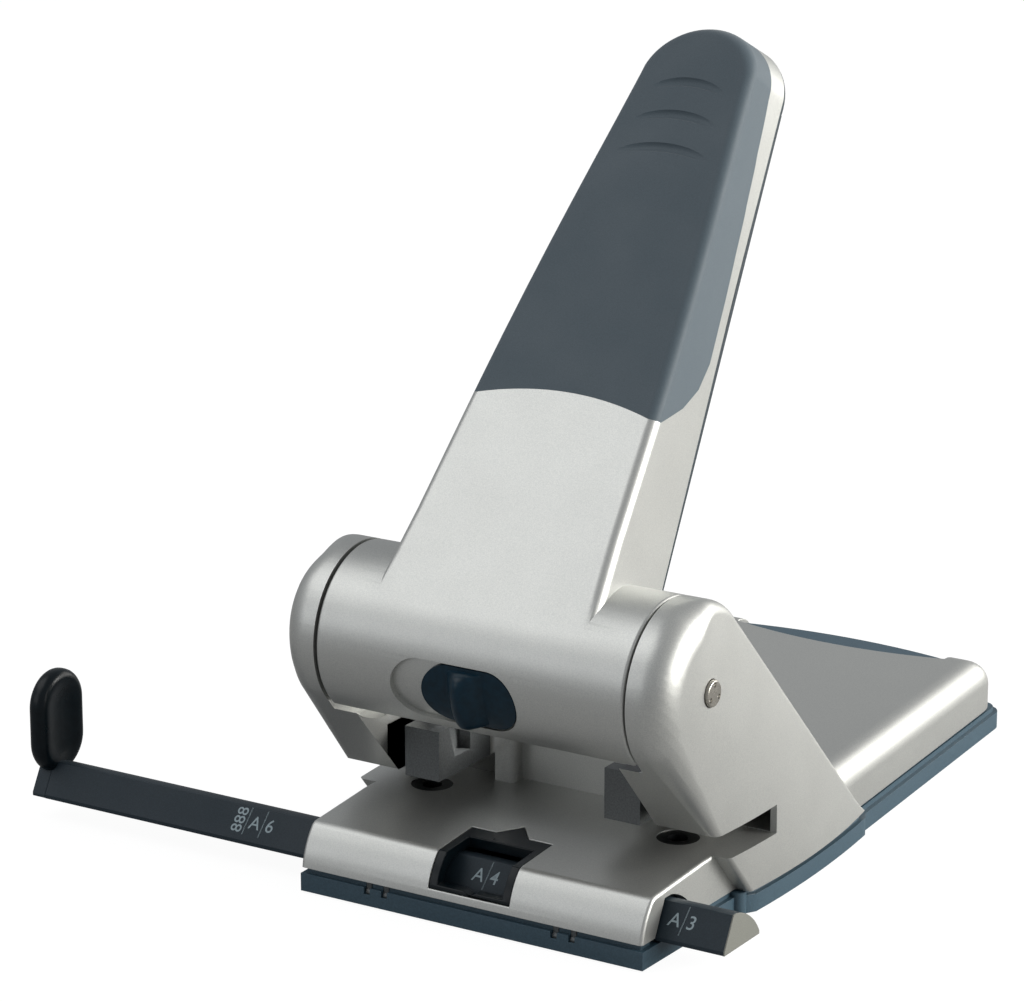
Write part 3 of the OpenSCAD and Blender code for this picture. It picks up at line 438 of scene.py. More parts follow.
def makeCheekForm():
    bm = rolled(cheekRing(), cheek["footInner"], cheek["outer"])
    sliced(bm, (0, 0, cheek["bottom"]), (0, 0, -1), clear=True)
    # thin slices let the outer face bend into its shallow dome
    lean = radians(cheek["lean"])
    across = Vector((0, cos(lean), sin(lean)))
    for i in range(-12, 31):
        sliced(bm, across * (i * cheek["slice"]), across)
    for v in bm.verts:
        if v.co.x > cheek["inner"] + 2:
            v.co.x -= (v.co.dot(across) - cheek["across"]) ** 2 / (2 * cheek["dome"])
    obj = newObject("cheek", bm)
    x0, x1 = cheek["footInner"] - 5, cheek["inner"]
    for outline in (cheek["aboveFoot"], cheek["belowFoot"]):
        combined(obj, newObject("tool", drawn(outline, "x", x0, x1)))
    combined(obj, barTool(barrel["radius"] + 0.6, x0, x1, pivot.y, pivot.z, 96))
    combined(obj, newObject("tool", drawn(slotOutline(lean), "x", 30, 80)))
    # behind its rim the slot runs on into the hollow cheek, so it looks dark
    combined(obj, boxTool((slot["roomInner"], slot["end"] - 0.5, slot["low"] + 0.1),
                          (slot["roomOuter"], slot["end"] + slot["roomLength"], slot["high"] - 0.1)))
    combined(obj, barTool(cheek["pinBore"], 40, 80, pivot.y, pivot.z))
    combined(obj, boxTool(*cheek["deckRoom"]))
    for turn in bolt["seats"]:
        combined(obj, barTool(bolt["seatBore"], 40, 59.1, *boltCentre(turn), 32))

    def onLip(c):
        return abs(c.z - slot["high"]) < 0.01 or abs(c.z - slot["low"]) < 0.01

    def level(e):
        return e.calc_length() > 0.3 and abs(e.verts[0].co.z - e.verts[1].co.z) < 0.01

    def onFoot(c):
        return abs(c.x - cheek["footInner"]) < 0.01 and abs(c.z - slot["high"]) < 0.01

    def soften(bm):
        rounded(bm, lambda e: both(e, onLip) and sharpness(e) > radians(40) and mid(e).x > 49.2
                and mid(e).y < 16.9 and level(e), slot["lip"], 3)
        rounded(bm, lambda e: both(e, onFoot) and sharpness(e) > radians(60), cheek["footRounding"], 7)
    remakeMesh(obj, soften)
    return obj


def mirrored(obj):
    twin = newObject("cheekLeft", bmesh.new())
    twin.data = obj.data.copy()

    def flip(bm):
        bmesh.ops.scale(bm, vec=(-1, 1, 1), verts=bm.verts)
        bmesh.ops.recalc_face_normals(bm, faces=bm.faces)
    remakeMesh(twin, flip)
    return twin


def makeBase():
    shell = makePlateForm()
    right = makeCheekForm()
    left = mirrored(right)
    combined(shell, right, "UNION")
    combined(shell, left, "UNION")
    combined(shell, newObject("tool", drawn(windowPoints(), "z", window["low"], window["high"])))
    combined(shell, newObject("tool", drawn(rodPoints(plate["rodGap"]), "x", -80, 80)))
    for side in (-1, 1):
        for radius, low, high in punch["bores"]:
            combined(shell, uprightTool(radius, punch["x"] * side, 0, low, high))

    def onWindow(c):
        return abs(c.x) < 14 and c.z > 9.5 and c.y < -14 and abs(c.z - plate["top"]) < 12
    remakeMesh(shell, lambda bm: rounded(bm, lambda e: onWindow(mid(e)) and sharpness(e) > radians(60)
                                         and e.calc_length() > 0.05, window["rounding"], 2))
    finished(shell, "base", silverLacquer)


# what the casting has besides its skin, each taken from the CAD node between two corners
# the punch guides in the throat and the hinge lugs take the zinc darkened as painted shade
castingParts = {"punchGuides": ((-41.75, -20, 21.21), (41.75, 9.5, 44.5), paintedShadeZinc),
                "throatWall": ((-41.75, 9.5, 21.21), (41.75, 20.1, 44.5), silverLacquer),
                "dieBosses": ((-49.08, -30, 7), (49.08, 34, 18.15), silverLacquer),
                "hingeLugs": ((-36, -43.6, 2), (36, -40.6, 8.66), paintedShadeZinc)}


def makeCastingParts():
    for name, (low, high, material) in castingParts.items():
        piece = combined(fromCad("base_casting", name), boxTool(low, high), "INTERSECT")
        finished(piece, "base", material, ["base_casting"])


# rear deck
deck = {"top": 23.75, "rear": 181.0, "front": 20.02, "halfWidth": 54.9, "from": 78.56, "taper": 3.9,
        "sideR": 7.5, "rearR": 10.6, "wall": 2.2, "lip": 7.65, "cornerPower": 3.4, "edge": 0.5,
        "scoopHalf": 36, "scoopDepth": 5.0, "scoopFrom": 16, "boss": 4.5, "bossX": 30, "bossY": 28,
        "screwBore": 1.43}


def deckForm(inset, low):
    # plan outline that shrinks as the long edges and the rear edge roll over, with a squarish corner
    rSide, rRear = deck["sideR"] - inset, deck["rearR"] - inset
    top, rear = deck["top"] - inset, deck["rear"] - inset
    taper = radians(deck["taper"])
    power = 2 / deck["cornerPower"]
    start = 15 if inset == 0 else 10

    def half(y, d):
        return deck["halfWidth"] - inset - (y - deck["from"]) * sin(taper) / cos(taper) - d / cos(taper)

    def ring(f):
        u, lift = cos(f), 1 - sin(f)
        points = []
        for i in range(9):
            y = start + (rear - rRear - start) * i / 8
            points.append((half(y, rSide * (1 - u)), y, top - rSide * lift))
        for i in range(1, 17):
            a = pi / 2 * i / 16
            us, ur = u * cos(a) ** power, u * sin(a) ** power
            y = rear - rRear * (1 - ur)
            drop = rSide + (rRear - rSide) * sin(a) ** 2
            points.append((half(y, rSide * (1 - us)), y, top - drop * lift))
        right = points + [(20, rear - rRear * (1 - u), top - rRear * lift)]
        return right + [(-x, y, z) for x, y, z in right[::-1]]
    rings = [[(x, y, low) for x, y, z in ring(0)]] + [ring(pi / 2 * k / 10) for k in range(11)]
    return ringed(rings)


def scoopPoints():
    # the shallow curve in the rear edge over the tray's upstand
    half, deep = deck["scoopHalf"], deck["scoopDepth"]
    big = (half * half + deep * deep) / (2 * deep)
    edge = deck["rear"] - deck["scoopFrom"]
    a = atan2(half, big - deep)
    curve = [(big * sin(t), edge + big - big * cos(t)) for t in [-a + 2 * a * i / 40 for i in range(41)]]
    return curve + [(half, 200), (-half, 200)]


def makeDeck():
    obj = newObject("deckShell", deckForm(0, deck["lip"]))
    combined(obj, newObject("tool", deckForm(deck["wall"], -1)))
    for span in ((-70, -48.9), (48.9, 70)):
        combined(obj, newObject("tool", drawn(cheekShadow(0.2), "x", *span)))
    combined(obj, boxTool((-70, 0, -5), (70, deck["front"], 40)))
    combined(obj, newObject("tool", drawn(scoopPoints(), "z", -5, 40)))
    for side in (-1, 1):
        boss = uprightTool(deck["boss"], deck["bossX"] * side, deck["bossY"], 11, 22.5)
        combined(boss, uprightTool(deck["screwBore"], deck["bossX"] * side, deck["bossY"], 5, 21.5))
        combined(obj, boss, "UNION")

    def onEdge(e):
        return sharpness(e) > radians(50) and e.calc_length() > 0.1 and (mid(e).y > 150 or mid(e).z < 8)
    remakeMesh(obj, lambda bm: rounded(bm, onEdge, deck["edge"], 3))
    finished(obj, "base", silverLacquer, ["rear_deck"])


def cheekShadow(gap):
    r = barrel["radius"] + gap
    rear = radians(cheek["rearLean"])
    top = (pivot.y + r * cos(rear), pivot.z + r * sin(rear))
    return [(pivot.y, pivot.z), (pivot.y, -5), (top[0] + top[1] + 5, -5), top]


def makeBezel():
    obj = fromCad("window_bezel", "windowFrame")
    remakeMesh(obj, lambda bm: rounded(bm, lambda e: sharpness(e) > radians(40), 0.3, 2))
    finished(obj, "base", glossAbs, ["window_bezel"])


def makeRivet():
    # the pin's heads are rounded at their rims, not in the dents
    def onRim(c):
        return abs(c.x) > 58 and (Vector((0, c.y, c.z)) - pivot).length > 3.3
    obj = fromCad("pivot_pin", "pivotPin")
    remakeMesh(obj, lambda bm: rounded(bm, lambda e: sharpness(e) > radians(60) and onRim(mid(e)), 0.6, 3))
    finished(obj, "base", platedSteel, ["pivot_pin"])


makeBase()
makeCastingParts()
makeDeck()
makeBezel()
makeRivet()
print("base made")


# the handle in its own frame, upright at the pivot
handle = {"lean": 41.5, "halfWidth": 35.0, "narrow": 0.1, "length": 186.1, "depth": 34.2, "thin": 0.073,
          "endR": 17.1, "edge": 3.2, "fillet": 5.5, "swell": 1.5, "swellFrom": 30, "swellLength": 135,
          "slice": 14, "rearNarrow": 0.6, "endSlant": 0.3, "slantFrom": 120, "slantLength": 65}


def toLever(bm):
    # from the handle's own frame to its lean in the row frame
    turn = Matrix.Rotation(radians(-handle["lean"]), 3, "X")
    bmesh.ops.rotate(bm, cent=(0, 0, 0), matrix=turn, verts=bm.verts)
    bmesh.ops.translate(bm, vec=pivot, verts=bm.verts)


def fromLever(bm):
    bmesh.ops.translate(bm, vec=-pivot, verts=bm.verts)
    turn = Matrix.Rotation(radians(handle["lean"]), 3, "X")
    bmesh.ops.rotate(bm, cent=(0, 0, 0), matrix=turn, verts=bm.verts)


def widthAt(s):
    return handle["halfWidth"] - handle["narrow"] * s


def depthAt(s):
    return handle["depth"] - handle["thin"] * s


def handleOutline(steps=40):
    # the handle seen from the front: leaning sides and a round end
    centre = handle["length"] - handle["endR"]
    side, start = widthAt(centre), radians(6)
    turns = [start + (pi - 2 * start) * i / steps for i in range(1, steps)]
    end = [(side * cos(a), centre + handle["endR"] * sin(a)) for a in turns]
    return [(widthAt(0), 0), (side, centre)] + end + [(-side, centre), (-widthAt(0), 0)]


def handleBlock():
    r = barrel["radius"]
    bm = drawn(handleOutline(), "y", -r, 16)
    sliced(bm, (0, handle["depth"] - r, 0), Vector((0, 1, handle["thin"])).normalized(), clear=True)
    bmesh.ops.recalc_face_normals(bm, faces=bm.faces)

    def onFront(c):
        return abs(c.y + r) < 0.01
    rounded(bm, lambda e: both(e, onFront) and mid(e).z > 0.1, handle["edge"], 7)
    # the front swells a little between the pivot and the end, the rear is a little narrower
    for i in range(1, 12):
        sliced(bm, (0, 0, i * handle["slice"]), (0, 0, 1))
    for v in bm.verts:
        back = (v.co.y + r) / depthAt(v.co.z)
        along = min(1, max(0, (v.co.z - handle["swellFrom"]) / handle["swellLength"]))
        swell = handle["swell"] * sin(pi * along) * (1 - back)
        v.co.x *= 1 + (swell - handle["rearNarrow"] * back) / widthAt(v.co.z)
    slanted(bm)
    return bm


def slanted(bm):
    # the handle's end leans a little, its rear edge reaching further than its front
    for v in bm.verts:
        over = (v.co.z - handle["slantFrom"]) / handle["slantLength"]
        if over > 0:
            v.co.z += (v.co.y + barrel["radius"]) * handle["endSlant"] * over


# grip pad: side is the edge of the pad seen from the side, rise lifts it between the handle's edges
pad = {"side": [(-25.3, 64), (-21.3, 65), (-10.6, 75), (-4.3, 84), (-1.7, 93), (-3.1, 113), (-5.7, 135),
                (-11.2, 174), (-13.5, 196), (-25.3, 196)], "rise": 4.0, "reach": 27.0, "edge": 0.35}
# grooves near its end: height along the handle and half width of each
groove = {"rows": ((167.7, 12.6), (157.0, 14.2), (146.3, 15.9)), "sag": 3.2, "radius": 1.7, "out": 0.75,
          "taper": 1.1}


def padTool():
    bm = drawn(pad["side"], "x", -60, 60)
    for i in range(-9, 10):
        sliced(bm, (i * 3, 0, 0), (1, 0, 0))
    for v in bm.verts:
        if v.co.z < 100 and abs(v.co.x) < pad["reach"] + 0.1:
            v.co.z += pad["rise"] * (1 - (v.co.x / pad["reach"]) ** 2)
    return newObject("padTool", bm)


def makeLeverForm():
    # barrel and handle in one, with a fillet at the handle's foot and a seat for the pad
    r, hl = barrel["radius"], barrel["halfLength"]
    turns = [2 * pi * i / barrel["segments"] for i in range(barrel["segments"])]
    bm = drawn([(r * cos(a), r * sin(a)) for a in turns], "x", -hl, hl)
    rounded(bm, lambda e: abs(mid(e).x) > hl - 0.01 and sharpness(e) > radians(50), barrel["endRounding"], 3)
    shell = newObject("leverShell", bm)
    combined(shell, newObject("tool", handleBlock()), "UNION")

    def onBarrel(c):
        return abs(Vector((c.y, c.z)).length - r) < 0.08

    def atFoot(e):
        upright = abs(e.verts[0].co.x - e.verts[1].co.x) < e.calc_length() * 0.8
        return both(e, onBarrel) and 20 < abs(mid(e).x) < 36 and mid(e).z > 7 and upright \
            and sharpness(e) > radians(25)
    remakeMesh(shell, lambda bm: rounded(bm, atFoot, handle["fillet"], 5))
    combined(shell, padTool())
    remakeMesh(shell, toLever)
    return shell


def wedgePoints():
    # the sector that is open underneath, from the sleeve's hub outwards
    a0, a1 = radians(227), radians(355)
    low = [(9.3, a1 + (a0 - a1) * i / 24) for i in range(25)]
    far = [(45, a0 + (a1 - a0) * i / 6) for i in range(7)]
    return [(pivot.y + r * cos(a), pivot.z + r * sin(a)) for r, a in low + far]


def makeLever():
    shell = makeLeverForm()
    r, inner = barrel["radius"], barrel["halfLength"] - 3
    combined(shell, barTool(r - barrel["wall"], -inner, inner, pivot.y, pivot.z, 96))
    combined(shell, newObject("tool", drawn(wedgePoints(), "x", -60, 60)))
    combined(shell, barTool(bolt["leverBore"], -60, -40, *boltCentre(), 32))
    recess = lockStadium(*lock["recess"])
    combined(recess, barTool(r - lock["recessDepth"], -45, 45, 0, 0, 128))
    remakeMesh(recess, toLock)
    combined(shell, recess)

    def onRecess(c):
        out = (Vector((c.y, c.z)) - Vector((pivot.y, pivot.z))).length
        return abs(out - r) < 0.03 and -25.2 < c.x < 15.9 and c.z < 76 and c.y < -35
    remakeMesh(shell, lambda bm: rounded(bm, lambda e: both(e, onRecess) and sharpness(e) > radians(50),
                                         lock["recessEdge"], 4))
    finished(shell, "lever", silverLacquer, ["lever_arm"])


def grooveTool(height, half):
    # a round bar bent to a crescent, whose ends rise out of the surface so that it tapers to points
    sag = groove["sag"]
    big = (half * half + sag * sag) / (2 * sag)
    turn = 2 * atan2(half * 1.12, big - sag)
    bm = bmesh.new()
    place = Matrix.Translation((0, 0, big)) @ Matrix.Rotation(pi / 2, 4, "Y")
    bmesh.ops.create_circle(bm, segments=20, radius=groove["radius"], matrix=place)
    bmesh.ops.rotate(bm, cent=(0, 0, 0), matrix=Matrix.Rotation(-turn / 2, 3, "Y"), verts=bm.verts)
    bmesh.ops.spin(bm, geom=bm.verts[:] + bm.edges[:], cent=(0, 0, 0), axis=(0, 1, 0), angle=turn,
                   steps=28, use_merge=False)
    closed(bm)
    bmesh.ops.recalc_face_normals(bm, faces=bm.faces)
    for v in bm.verts:
        v.co.y -= groove["taper"] * (v.co.x / half) ** 2
    bmesh.ops.translate(bm, vec=(0, -barrel["radius"] - groove["out"], height - big), verts=bm.verts)
    return newObject("tool", bm)


def makePad():
    obj = combined(newObject("gripPad", handleBlock()), padTool(), "INTERSECT")
    for height, half in groove["rows"]:
        combined(obj, grooveTool(height, half))

    def soften(bm):
        rounded(bm, lambda e: radians(38) < sharpness(e) < pi - 0.1 and mid(e).z < 186
                and e.calc_length() > 0.1, pad["edge"], 2)
        toLever(bm)
    remakeMesh(obj, soften)
    finished(obj, "lever", softGrip, ["grip_pad"])


def makeBackCover():
    obj = fromCad("lever_back_cover", "handleBackCover")

    def fitted(bm):
        fromLever(bm)
        slanted(bm)
        bmesh.ops.scale(bm, vec=(0.978, 1, 1), verts=bm.verts)
        toLever(bm)
        rounded(bm, lambda e: sharpness(e) > radians(60), 0.35, 2)
    remakeMesh(obj, fitted)
    finished(obj, "lever", grainedAbs, ["lever_back_cover"])


# lock: stadiums as left end, right end, height and depth reached, drawn on the barrel's front
lock = {"turn": 15.5, "recess": (-24.6, 15.3, 18.6, 30), "recessDepth": 1.6, "recessEdge": 0.7,
        "slider": (-14.8, 14.8, 17.6, 30), "outer": 0.3, "inner": 1.5, "edge": 0.6,
        "stem": ((-5.8, -23.1, -3), (0.2, -13.5, 3))}
knob = {"centre": -0.6, "halfWidth": 6.2, "halfHeight": 8.4, "proud": 5.4, "sunk": 0.75, "root": 3.6,
        "steps": 24}


def lockStadium(x0, x1, height, depth, segments=28):
    h = height / 2
    turns = [pi * i / segments for i in range(segments + 1)]
    right = [(x1 - h + h * cos(a - pi / 2), h * sin(a - pi / 2)) for a in turns]
    left = [(x0 + h + h * cos(a + pi / 2), h * sin(a + pi / 2)) for a in turns]
    return newObject("stadium", drawn(right + left, "y", -depth, -10))


def toLock(bm):
    turn = Matrix.Rotation(radians(lock["turn"]), 3, "X")
    bmesh.ops.rotate(bm, cent=(0, 0, 0), matrix=turn, verts=bm.verts)
    bmesh.ops.translate(bm, vec=pivot, verts=bm.verts)


def knobForm():
    # thumb ridge: a smooth upright bar, proud of the slider and wrapped on the barrel
    r, n = barrel["radius"], knob["steps"]
    across = [knob["centre"] + knob["halfWidth"] * (2 * i / n - 1) for i in range(n + 1)]
    upwards = [knob["halfHeight"] * (2 * j / n - 1) for j in range(n + 1)]

    def height(x, z):
        u, w = (x - knob["centre"]) / knob["halfWidth"], z / knob["halfHeight"]
        return knob["proud"] * cos(u * pi / 2) ** 1.3 * max(0.0, 1 - abs(w) ** 5) ** 0.5

    def wrapped(x, z, out):
        return x, -out * cos(z / r), out * sin(z / r)
    bm = bmesh.new()
    top = [[bm.verts.new(wrapped(x, z, r - knob["sunk"] + height(x, z))) for z in upwards] for x in across]
    low = [[bm.verts.new(wrapped(x, z, r - knob["root"])) for z in upwards] for x in across]
    for i in range(n):
        for j in range(n):
            bm.faces.new((top[i][j], top[i + 1][j], top[i + 1][j + 1], top[i][j + 1]))
            bm.faces.new((low[i][j], low[i][j + 1], low[i + 1][j + 1], low[i + 1][j]))
        for j in (0, n):
            bm.faces.new((top[i][j], top[i + 1][j], low[i + 1][j], low[i][j]))
            bm.faces.new((top[j][i], top[j][i + 1], low[j][i + 1], low[j][i]))
    bmesh.ops.recalc_face_normals(bm, faces=bm.faces)
    return bm


def makeLock():
    r = barrel["radius"]
    slider = lockStadium(*lock["slider"])
    combined(slider, barTool(r - lock["outer"], -45, 45, 0, 0, 160), "INTERSECT")
    combined(slider, barTool(r - lock["inner"], -45, 45, 0, 0, 160))

    def onRim(e):
        return sharpness(e) > radians(50) and Vector((mid(e).y, mid(e).z)).length > r - 0.6
    remakeMesh(slider, lambda bm: rounded(bm, onRim, lock["edge"], 3))
    combined(slider, newObject("tool", knobForm()), "UNION")
    combined(slider, boxTool(*lock["stem"]), "UNION")
    remakeMesh(slider, toLock)
    finished(slider, "lock", petrolAbs, ["lock_slider"])


makeLever()
makePad()
makeBackCover()
makeLock()
print("lever made")


rodFace = {"low": (-36.6, 7.8), "high": (-31.8, 16.6), "right": 75.3, "endPlate": 0.4, "edge": 0.35,
           "endEdge": 0.2, "capEdge": 0.3}


def makeRod():
    obj = fromCad("guide_rod", "guideRod")
    right, thick = rodFace["right"], rodFace["endPlate"]

    def soften(bm):
        for v in bm.verts:
            if v.co.x > right - 0.1:
                v.co.x -= thick
        rounded(bm, lambda e: sharpness(e) > radians(40) and mid(e).x < 74 and e.calc_length() > 3,
                rodFace["edge"], 2)
    remakeMesh(obj, soften)
    finished(obj, "rod", grainedAbs, ["guide_rod"])
    # the cut end is a thin piece of its own, so that it can be paler
    end = drawn(rodPoints(0)[::-1], "x", right - thick, right)
    rounded(end, lambda e: sharpness(e) > radians(40) and both(e, lambda c: c.x > right - 0.01),
            rodFace["endEdge"], 2)
    finished(newObject("rodEndFace", end), "rod", cutAbs)
    cap = fromCad("rod_end_cap", "rodEndCap")
    remakeMesh(cap, lambda bm: rounded(bm, lambda e: sharpness(e) > radians(40), rodFace["capEdge"], 2))
    finished(cap, "rod", grainedAbs, ["rod_end_cap"])


# sheet stop; dish gives the width and sink of each step of its hollow face
paddle = {"face": -148.5, "thick": 6.0, "centreY": -28.2, "halfWidth": 10.2, "low": 12.6, "high": 43.4,
          "edge": 2.6, "dish": ((1.3, -0.2), (1.5, -0.45), (1.6, -0.3), (1.6, -0.15), (1.0, -0.04)),
          "neck": {"low": 12.5, "high": 17, "lowHalf": 3.6, "highHalf": 2.8, "back": 4.4, "front": 1.6}}


def makePaddle():
    y, h, face = paddle["centreY"], paddle["halfWidth"], paddle["face"]
    turns = [pi * i / 36 for i in range(37)]
    up = [(y + h * cos(a), paddle["high"] - h + h * sin(a)) for a in turns]
    down = [(y + h * cos(pi + a), paddle["low"] + h + h * sin(pi + a)) for a in turns]
    bm = drawn(up + down, "x", face - paddle["thick"], face)

    def onRim(e):
        return sharpness(e) > radians(50) and e.calc_length() < 25 \
            and abs(e.verts[0].co.x - e.verts[1].co.x) < 0.01
    rounded(bm, onRim, paddle["edge"], 6)
    cap = max((f for f in bm.faces if f.normal.x > 0.99), key=lambda f: f.calc_area())
    for width, sink in paddle["dish"]:
        bmesh.ops.inset_region(bm, faces=[cap], thickness=width, depth=sink, use_even_offset=True)
    obj = newObject("sheetStop", bm)
    neck = paddle["neck"]
    outline = [(y - neck["lowHalf"], neck["low"]), (y + neck["lowHalf"], neck["low"]),
               (y + neck["highHalf"], neck["high"]), (y - neck["highHalf"], neck["high"])]
    combined(obj, newObject("tool", drawn(outline, "x", face - neck["back"], face - neck["front"])), "UNION")
    finished(obj, "rod", glossAbs, ["stop_paddle"], angle=50)


# format marks: place, text left and right of the line, and whether the text runs along the line
marks = {"all": ((0.0, "A", "4", False), (61.5, "A", "3", False), (-74.5, "A", "6", False),
                 (-80.0, "888", "", True)),
         "size": 5.4, "turnedSize": 5.0, "turnedShift": -0.9, "baseline": 3.7, "left": -2.7, "right": 2.3,
         "shear": 0.185, "lineFrom": 1.6, "lineTo": 9.7, "lineHalf": 0.19, "weight": 0.012, "proud": 0.04}


def onRodFace(obj, x, along):
    # a flat drawing laid on the rod's leaning front face at x
    low = Vector(rodFace["low"])
    up = (Vector(rodFace["high"]) - low).normalized()
    out = Vector((-up.y, up.x))
    middle = (marks["lineFrom"] + marks["lineTo"]) / 2
    for v in obj.data.vertices:
        b = v.co.y + along
        a = v.co.x + marks["shear"] * (b - middle)
        spot = low + up * b + out * marks["proud"]
        v.co = Vector((x + a, spot.x, spot.y))
    return obj


def lettered(text, size):
    curve = bpy.data.curves.new("mark", "FONT")
    curve.body = text
    curve.size = size
    curve.offset = marks["weight"]
    curve.align_x = "CENTER"
    temp = bpy.data.objects.new("mark", curve)
    scene.collection.objects.link(temp)
    bpy.context.view_layer.update()
    mesh = bpy.data.meshes.new_from_object(temp.evaluated_get(bpy.context.evaluated_depsgraph_get()))
    bpy.data.objects.remove(temp)
    obj = bpy.data.objects.new("mark", mesh)
    scene.collection.objects.link(obj)
    return obj


def makeMarks():
    low, high, w = marks["lineFrom"], marks["lineTo"], marks["lineHalf"]
    pieces = []
    for x, left, right, turned in marks["all"]:
        if turned:
            obj = lettered(left, marks["turnedSize"])
            for v in obj.data.vertices:
                v.co = Vector((-v.co.y, v.co.x, 0))
            pieces.append(onRodFace(obj, x + marks["turnedShift"], (low + high) / 2))
        else:
            for text, shift in ((left, marks["left"]), (right, marks["right"])):
                pieces.append(onRodFace(lettered(text, marks["size"]), x + shift, marks["baseline"]))
        bar = drawn([(-w, low), (w, low), (w, high), (-w, high)], "z", 0, 0.01)
        pieces.append(onRodFace(newObject("mark", bar), x, 0))
    bm = bmesh.new()
    for obj in pieces:
        bm.from_mesh(obj.data)
        bpy.data.objects.remove(obj)
    finished(newObject("formatMarks", bm), "rod", printInk, weighted=False)


makeRod()
makePaddle()
makeMarks()
print("rod made")


def makeTray():
    obj = fromCad("chip_tray", "chipTray")
    remakeMesh(obj, lambda bm: rounded(bm, lambda e: sharpness(e) > radians(50) and e.calc_length() > 0.6,
                                       0.3, 2))
    finished(obj, "tray", navyAbs, ["chip_tray"])


# pieces that keep the shape of their CAD node
kept = {"deck_screws": platedSteel, "rod_channel": grainedAbs, "rod_detent_spring": springSteel,
        # the die bushes take steel darkened as painted shade, the hinge pins the same dark steel
        "die_bush_left": shadeDarkenedSteel, "die_bush_right": shadeDarkenedSteel, "lever_cover_screws": platedSteel,
        "pivot_sleeve": sinteredBronze, "cam_left": groundSteel, "cam_right": groundSteel,
        "lock_bolt": groundSteel, "lock_detent_spring": springSteel, "punch_left": groundSteel,
        "punch_right": groundSteel, "punch_spring_left": springSteel, "punch_spring_right": springSteel,
        "tray_hinge_pins": shadeDarkenedSteel, "rubber_strip": footRubber, "rubber_feet": footRubber}


def dress(node, material):
    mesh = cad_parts[node].data
    mesh.materials.clear()
    mesh.materials.append(material)
    for poly in mesh.polygons:
        poly.material_index = 0


makeTray()
for node, material in kept.items():
    dress(node, material)
print("tray and inner pieces made")


# camera of the photo: degrees turned to the right and raised, place in metres, lens in mm
view = {"turn": 32.027, "rise": 16.322, "at": (0.578142, -0.945749, 0.435090), "lens": 149.468}


def addCamera():
    a, e = radians(view["turn"]), radians(view["rise"])
    back = Vector((sin(a) * cos(e), -cos(a) * cos(e), sin(e)))
    right = Vector((cos(a), sin(a), 0))
    up = back.cross(right)
    data = bpy.data.cameras.new("camera")
    data.sensor_fit = "HORIZONTAL"
    data.sensor_width = 36
    data.lens = view["lens"]
    data.clip_start = 0.05
    data.clip_end = 50
    cam = bpy.data.objects.new("camera", data)
    matrix = Matrix((right, up, back)).transposed().to_4x4()
    matrix.translation = Vector(view["at"])
    cam.matrix_world = matrix
    scene.collection.objects.link(cam)
    scene.camera = cam


# lights, in metres and watts: place, what it points at, size, power and colour
lights = {"keyLight": ((-0.95, -0.6, 1.55), (0, 0, 0.1), (1.6, 1.3), 11, (1, 1, 1)),
          "fillLight": ((-1.2, -1.9, 0.75), (0, 0, 0.08), (1.3, 0.8), 4.6, (0.97, 0.98, 1)),
          "rearRightLight": ((0.8, 1.35, 0.55), (0, 0.05, 0.06), (1.3, 0.9), 12, (1, 0.975, 0.93)),
          "floorWash": ((1.35, 0.75, 0.5), (0.5, 0.7, 0), (0.7, 0.7), 26, (1, 0.985, 0.95)),
          "sideLight": ((1.6, 0.1, 0.5), (0, 0.02, 0.05), (0.9, 0.7), 11, (1, 0.975, 0.93))}
studio = {"floorSize": 6, "floorTone": 0.35, "glow": 1.28, "glowShare": 0.74, "sky": (0.93, 0.96, 1, 1),
          "skyStrength": 0.42}


def softLight(name, place, target, size, power, colour):
    data = bpy.data.lights.new(name, "AREA")
    data.shape = "RECTANGLE"
    data.size, data.size_y = size
    data.energy = power
    data.color = colour
    lamp = bpy.data.objects.new(name, data)
    turn = (Vector(place) - Vector(target)).to_track_quat("Z", "Y").to_matrix().to_4x4()
    lamp.matrix_world = Matrix.Translation(place) @ turn
    scene.collection.objects.link(lamp)


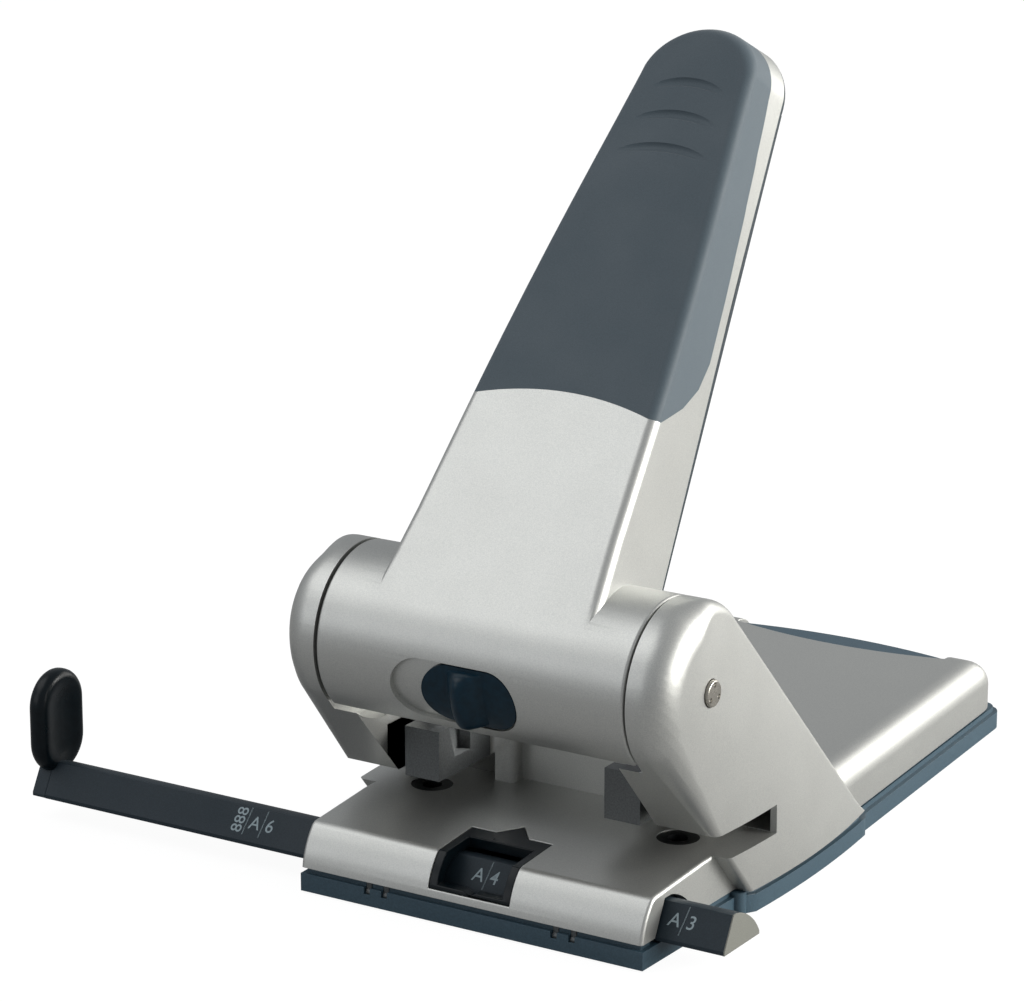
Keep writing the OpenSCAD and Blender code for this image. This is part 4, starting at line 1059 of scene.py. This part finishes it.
def paleFloor():
    bm = bmesh.new()
    bmesh.ops.create_grid(bm, x_segments=1, y_segments=1, size=studio["floorSize"])
    floor = newObject("floor", bm)
    mat = bpy.data.materials.new("paleFloor")
    mat.use_nodes = True
    tree = mat.node_tree
    shader = tree.nodes["Principled BSDF"]
    shader.inputs["Base Color"].default_value = (studio["floorTone"],) * 3 + (1,)
    shader.inputs["Roughness"].default_value = 0.9
    shader.inputs["Specular IOR Level"].default_value = 0.1
    # the camera sees the floor nearly white, with the object's shadow kept
    glow = addNode(tree, "ShaderNodeEmission", inputs={"Color": (1, 1, 1, 1), "Strength": studio["glow"]})
    rays = addNode(tree, "ShaderNodeLightPath")
    seen = addNode(tree, "ShaderNodeMath", [(0, rays.outputs["Is Camera Ray"])], {1: studio["glowShare"]},
                   operation="MULTIPLY")
    mix = addNode(tree, "ShaderNodeMixShader",
                  [("Fac", seen.outputs[0]), (1, shader.outputs[0]), (2, glow.outputs[0])])
    tree.links.new(mix.outputs[0], tree.nodes["Material Output"].inputs["Surface"])
    floor.data.materials.append(mat)


def studioWorld():
    # white where the camera sees it, dimmer as a light and in reflections
    world = bpy.data.worlds.new("studio")
    scene.world = world
    world.use_nodes = True
    tree = world.node_tree
    tree.nodes.clear()
    rays = addNode(tree, "ShaderNodeLightPath")
    seen = addNode(tree, "ShaderNodeMath", [(0, rays.outputs["Is Camera Ray"]),
                                            (1, rays.outputs["Is Transmission Ray"])], operation="MAXIMUM")
    white = addNode(tree, "ShaderNodeBackground", inputs={"Color": (1, 1, 1, 1), "Strength": 1.0})
    soft = addNode(tree, "ShaderNodeBackground",
                   inputs={"Color": studio["sky"], "Strength": studio["skyStrength"]})
    mix = addNode(tree, "ShaderNodeMixShader",
                  [("Fac", seen.outputs[0]), (1, soft.outputs[0]), (2, white.outputs[0])])
    addNode(tree, "ShaderNodeOutputWorld", [("Surface", mix.outputs[0])])


addCamera()
paleFloor()
studioWorld()
for name, lamp in lights.items():
    softLight(name, *lamp)
scene.view_settings.view_transform = "Standard"
print("camera and light set")
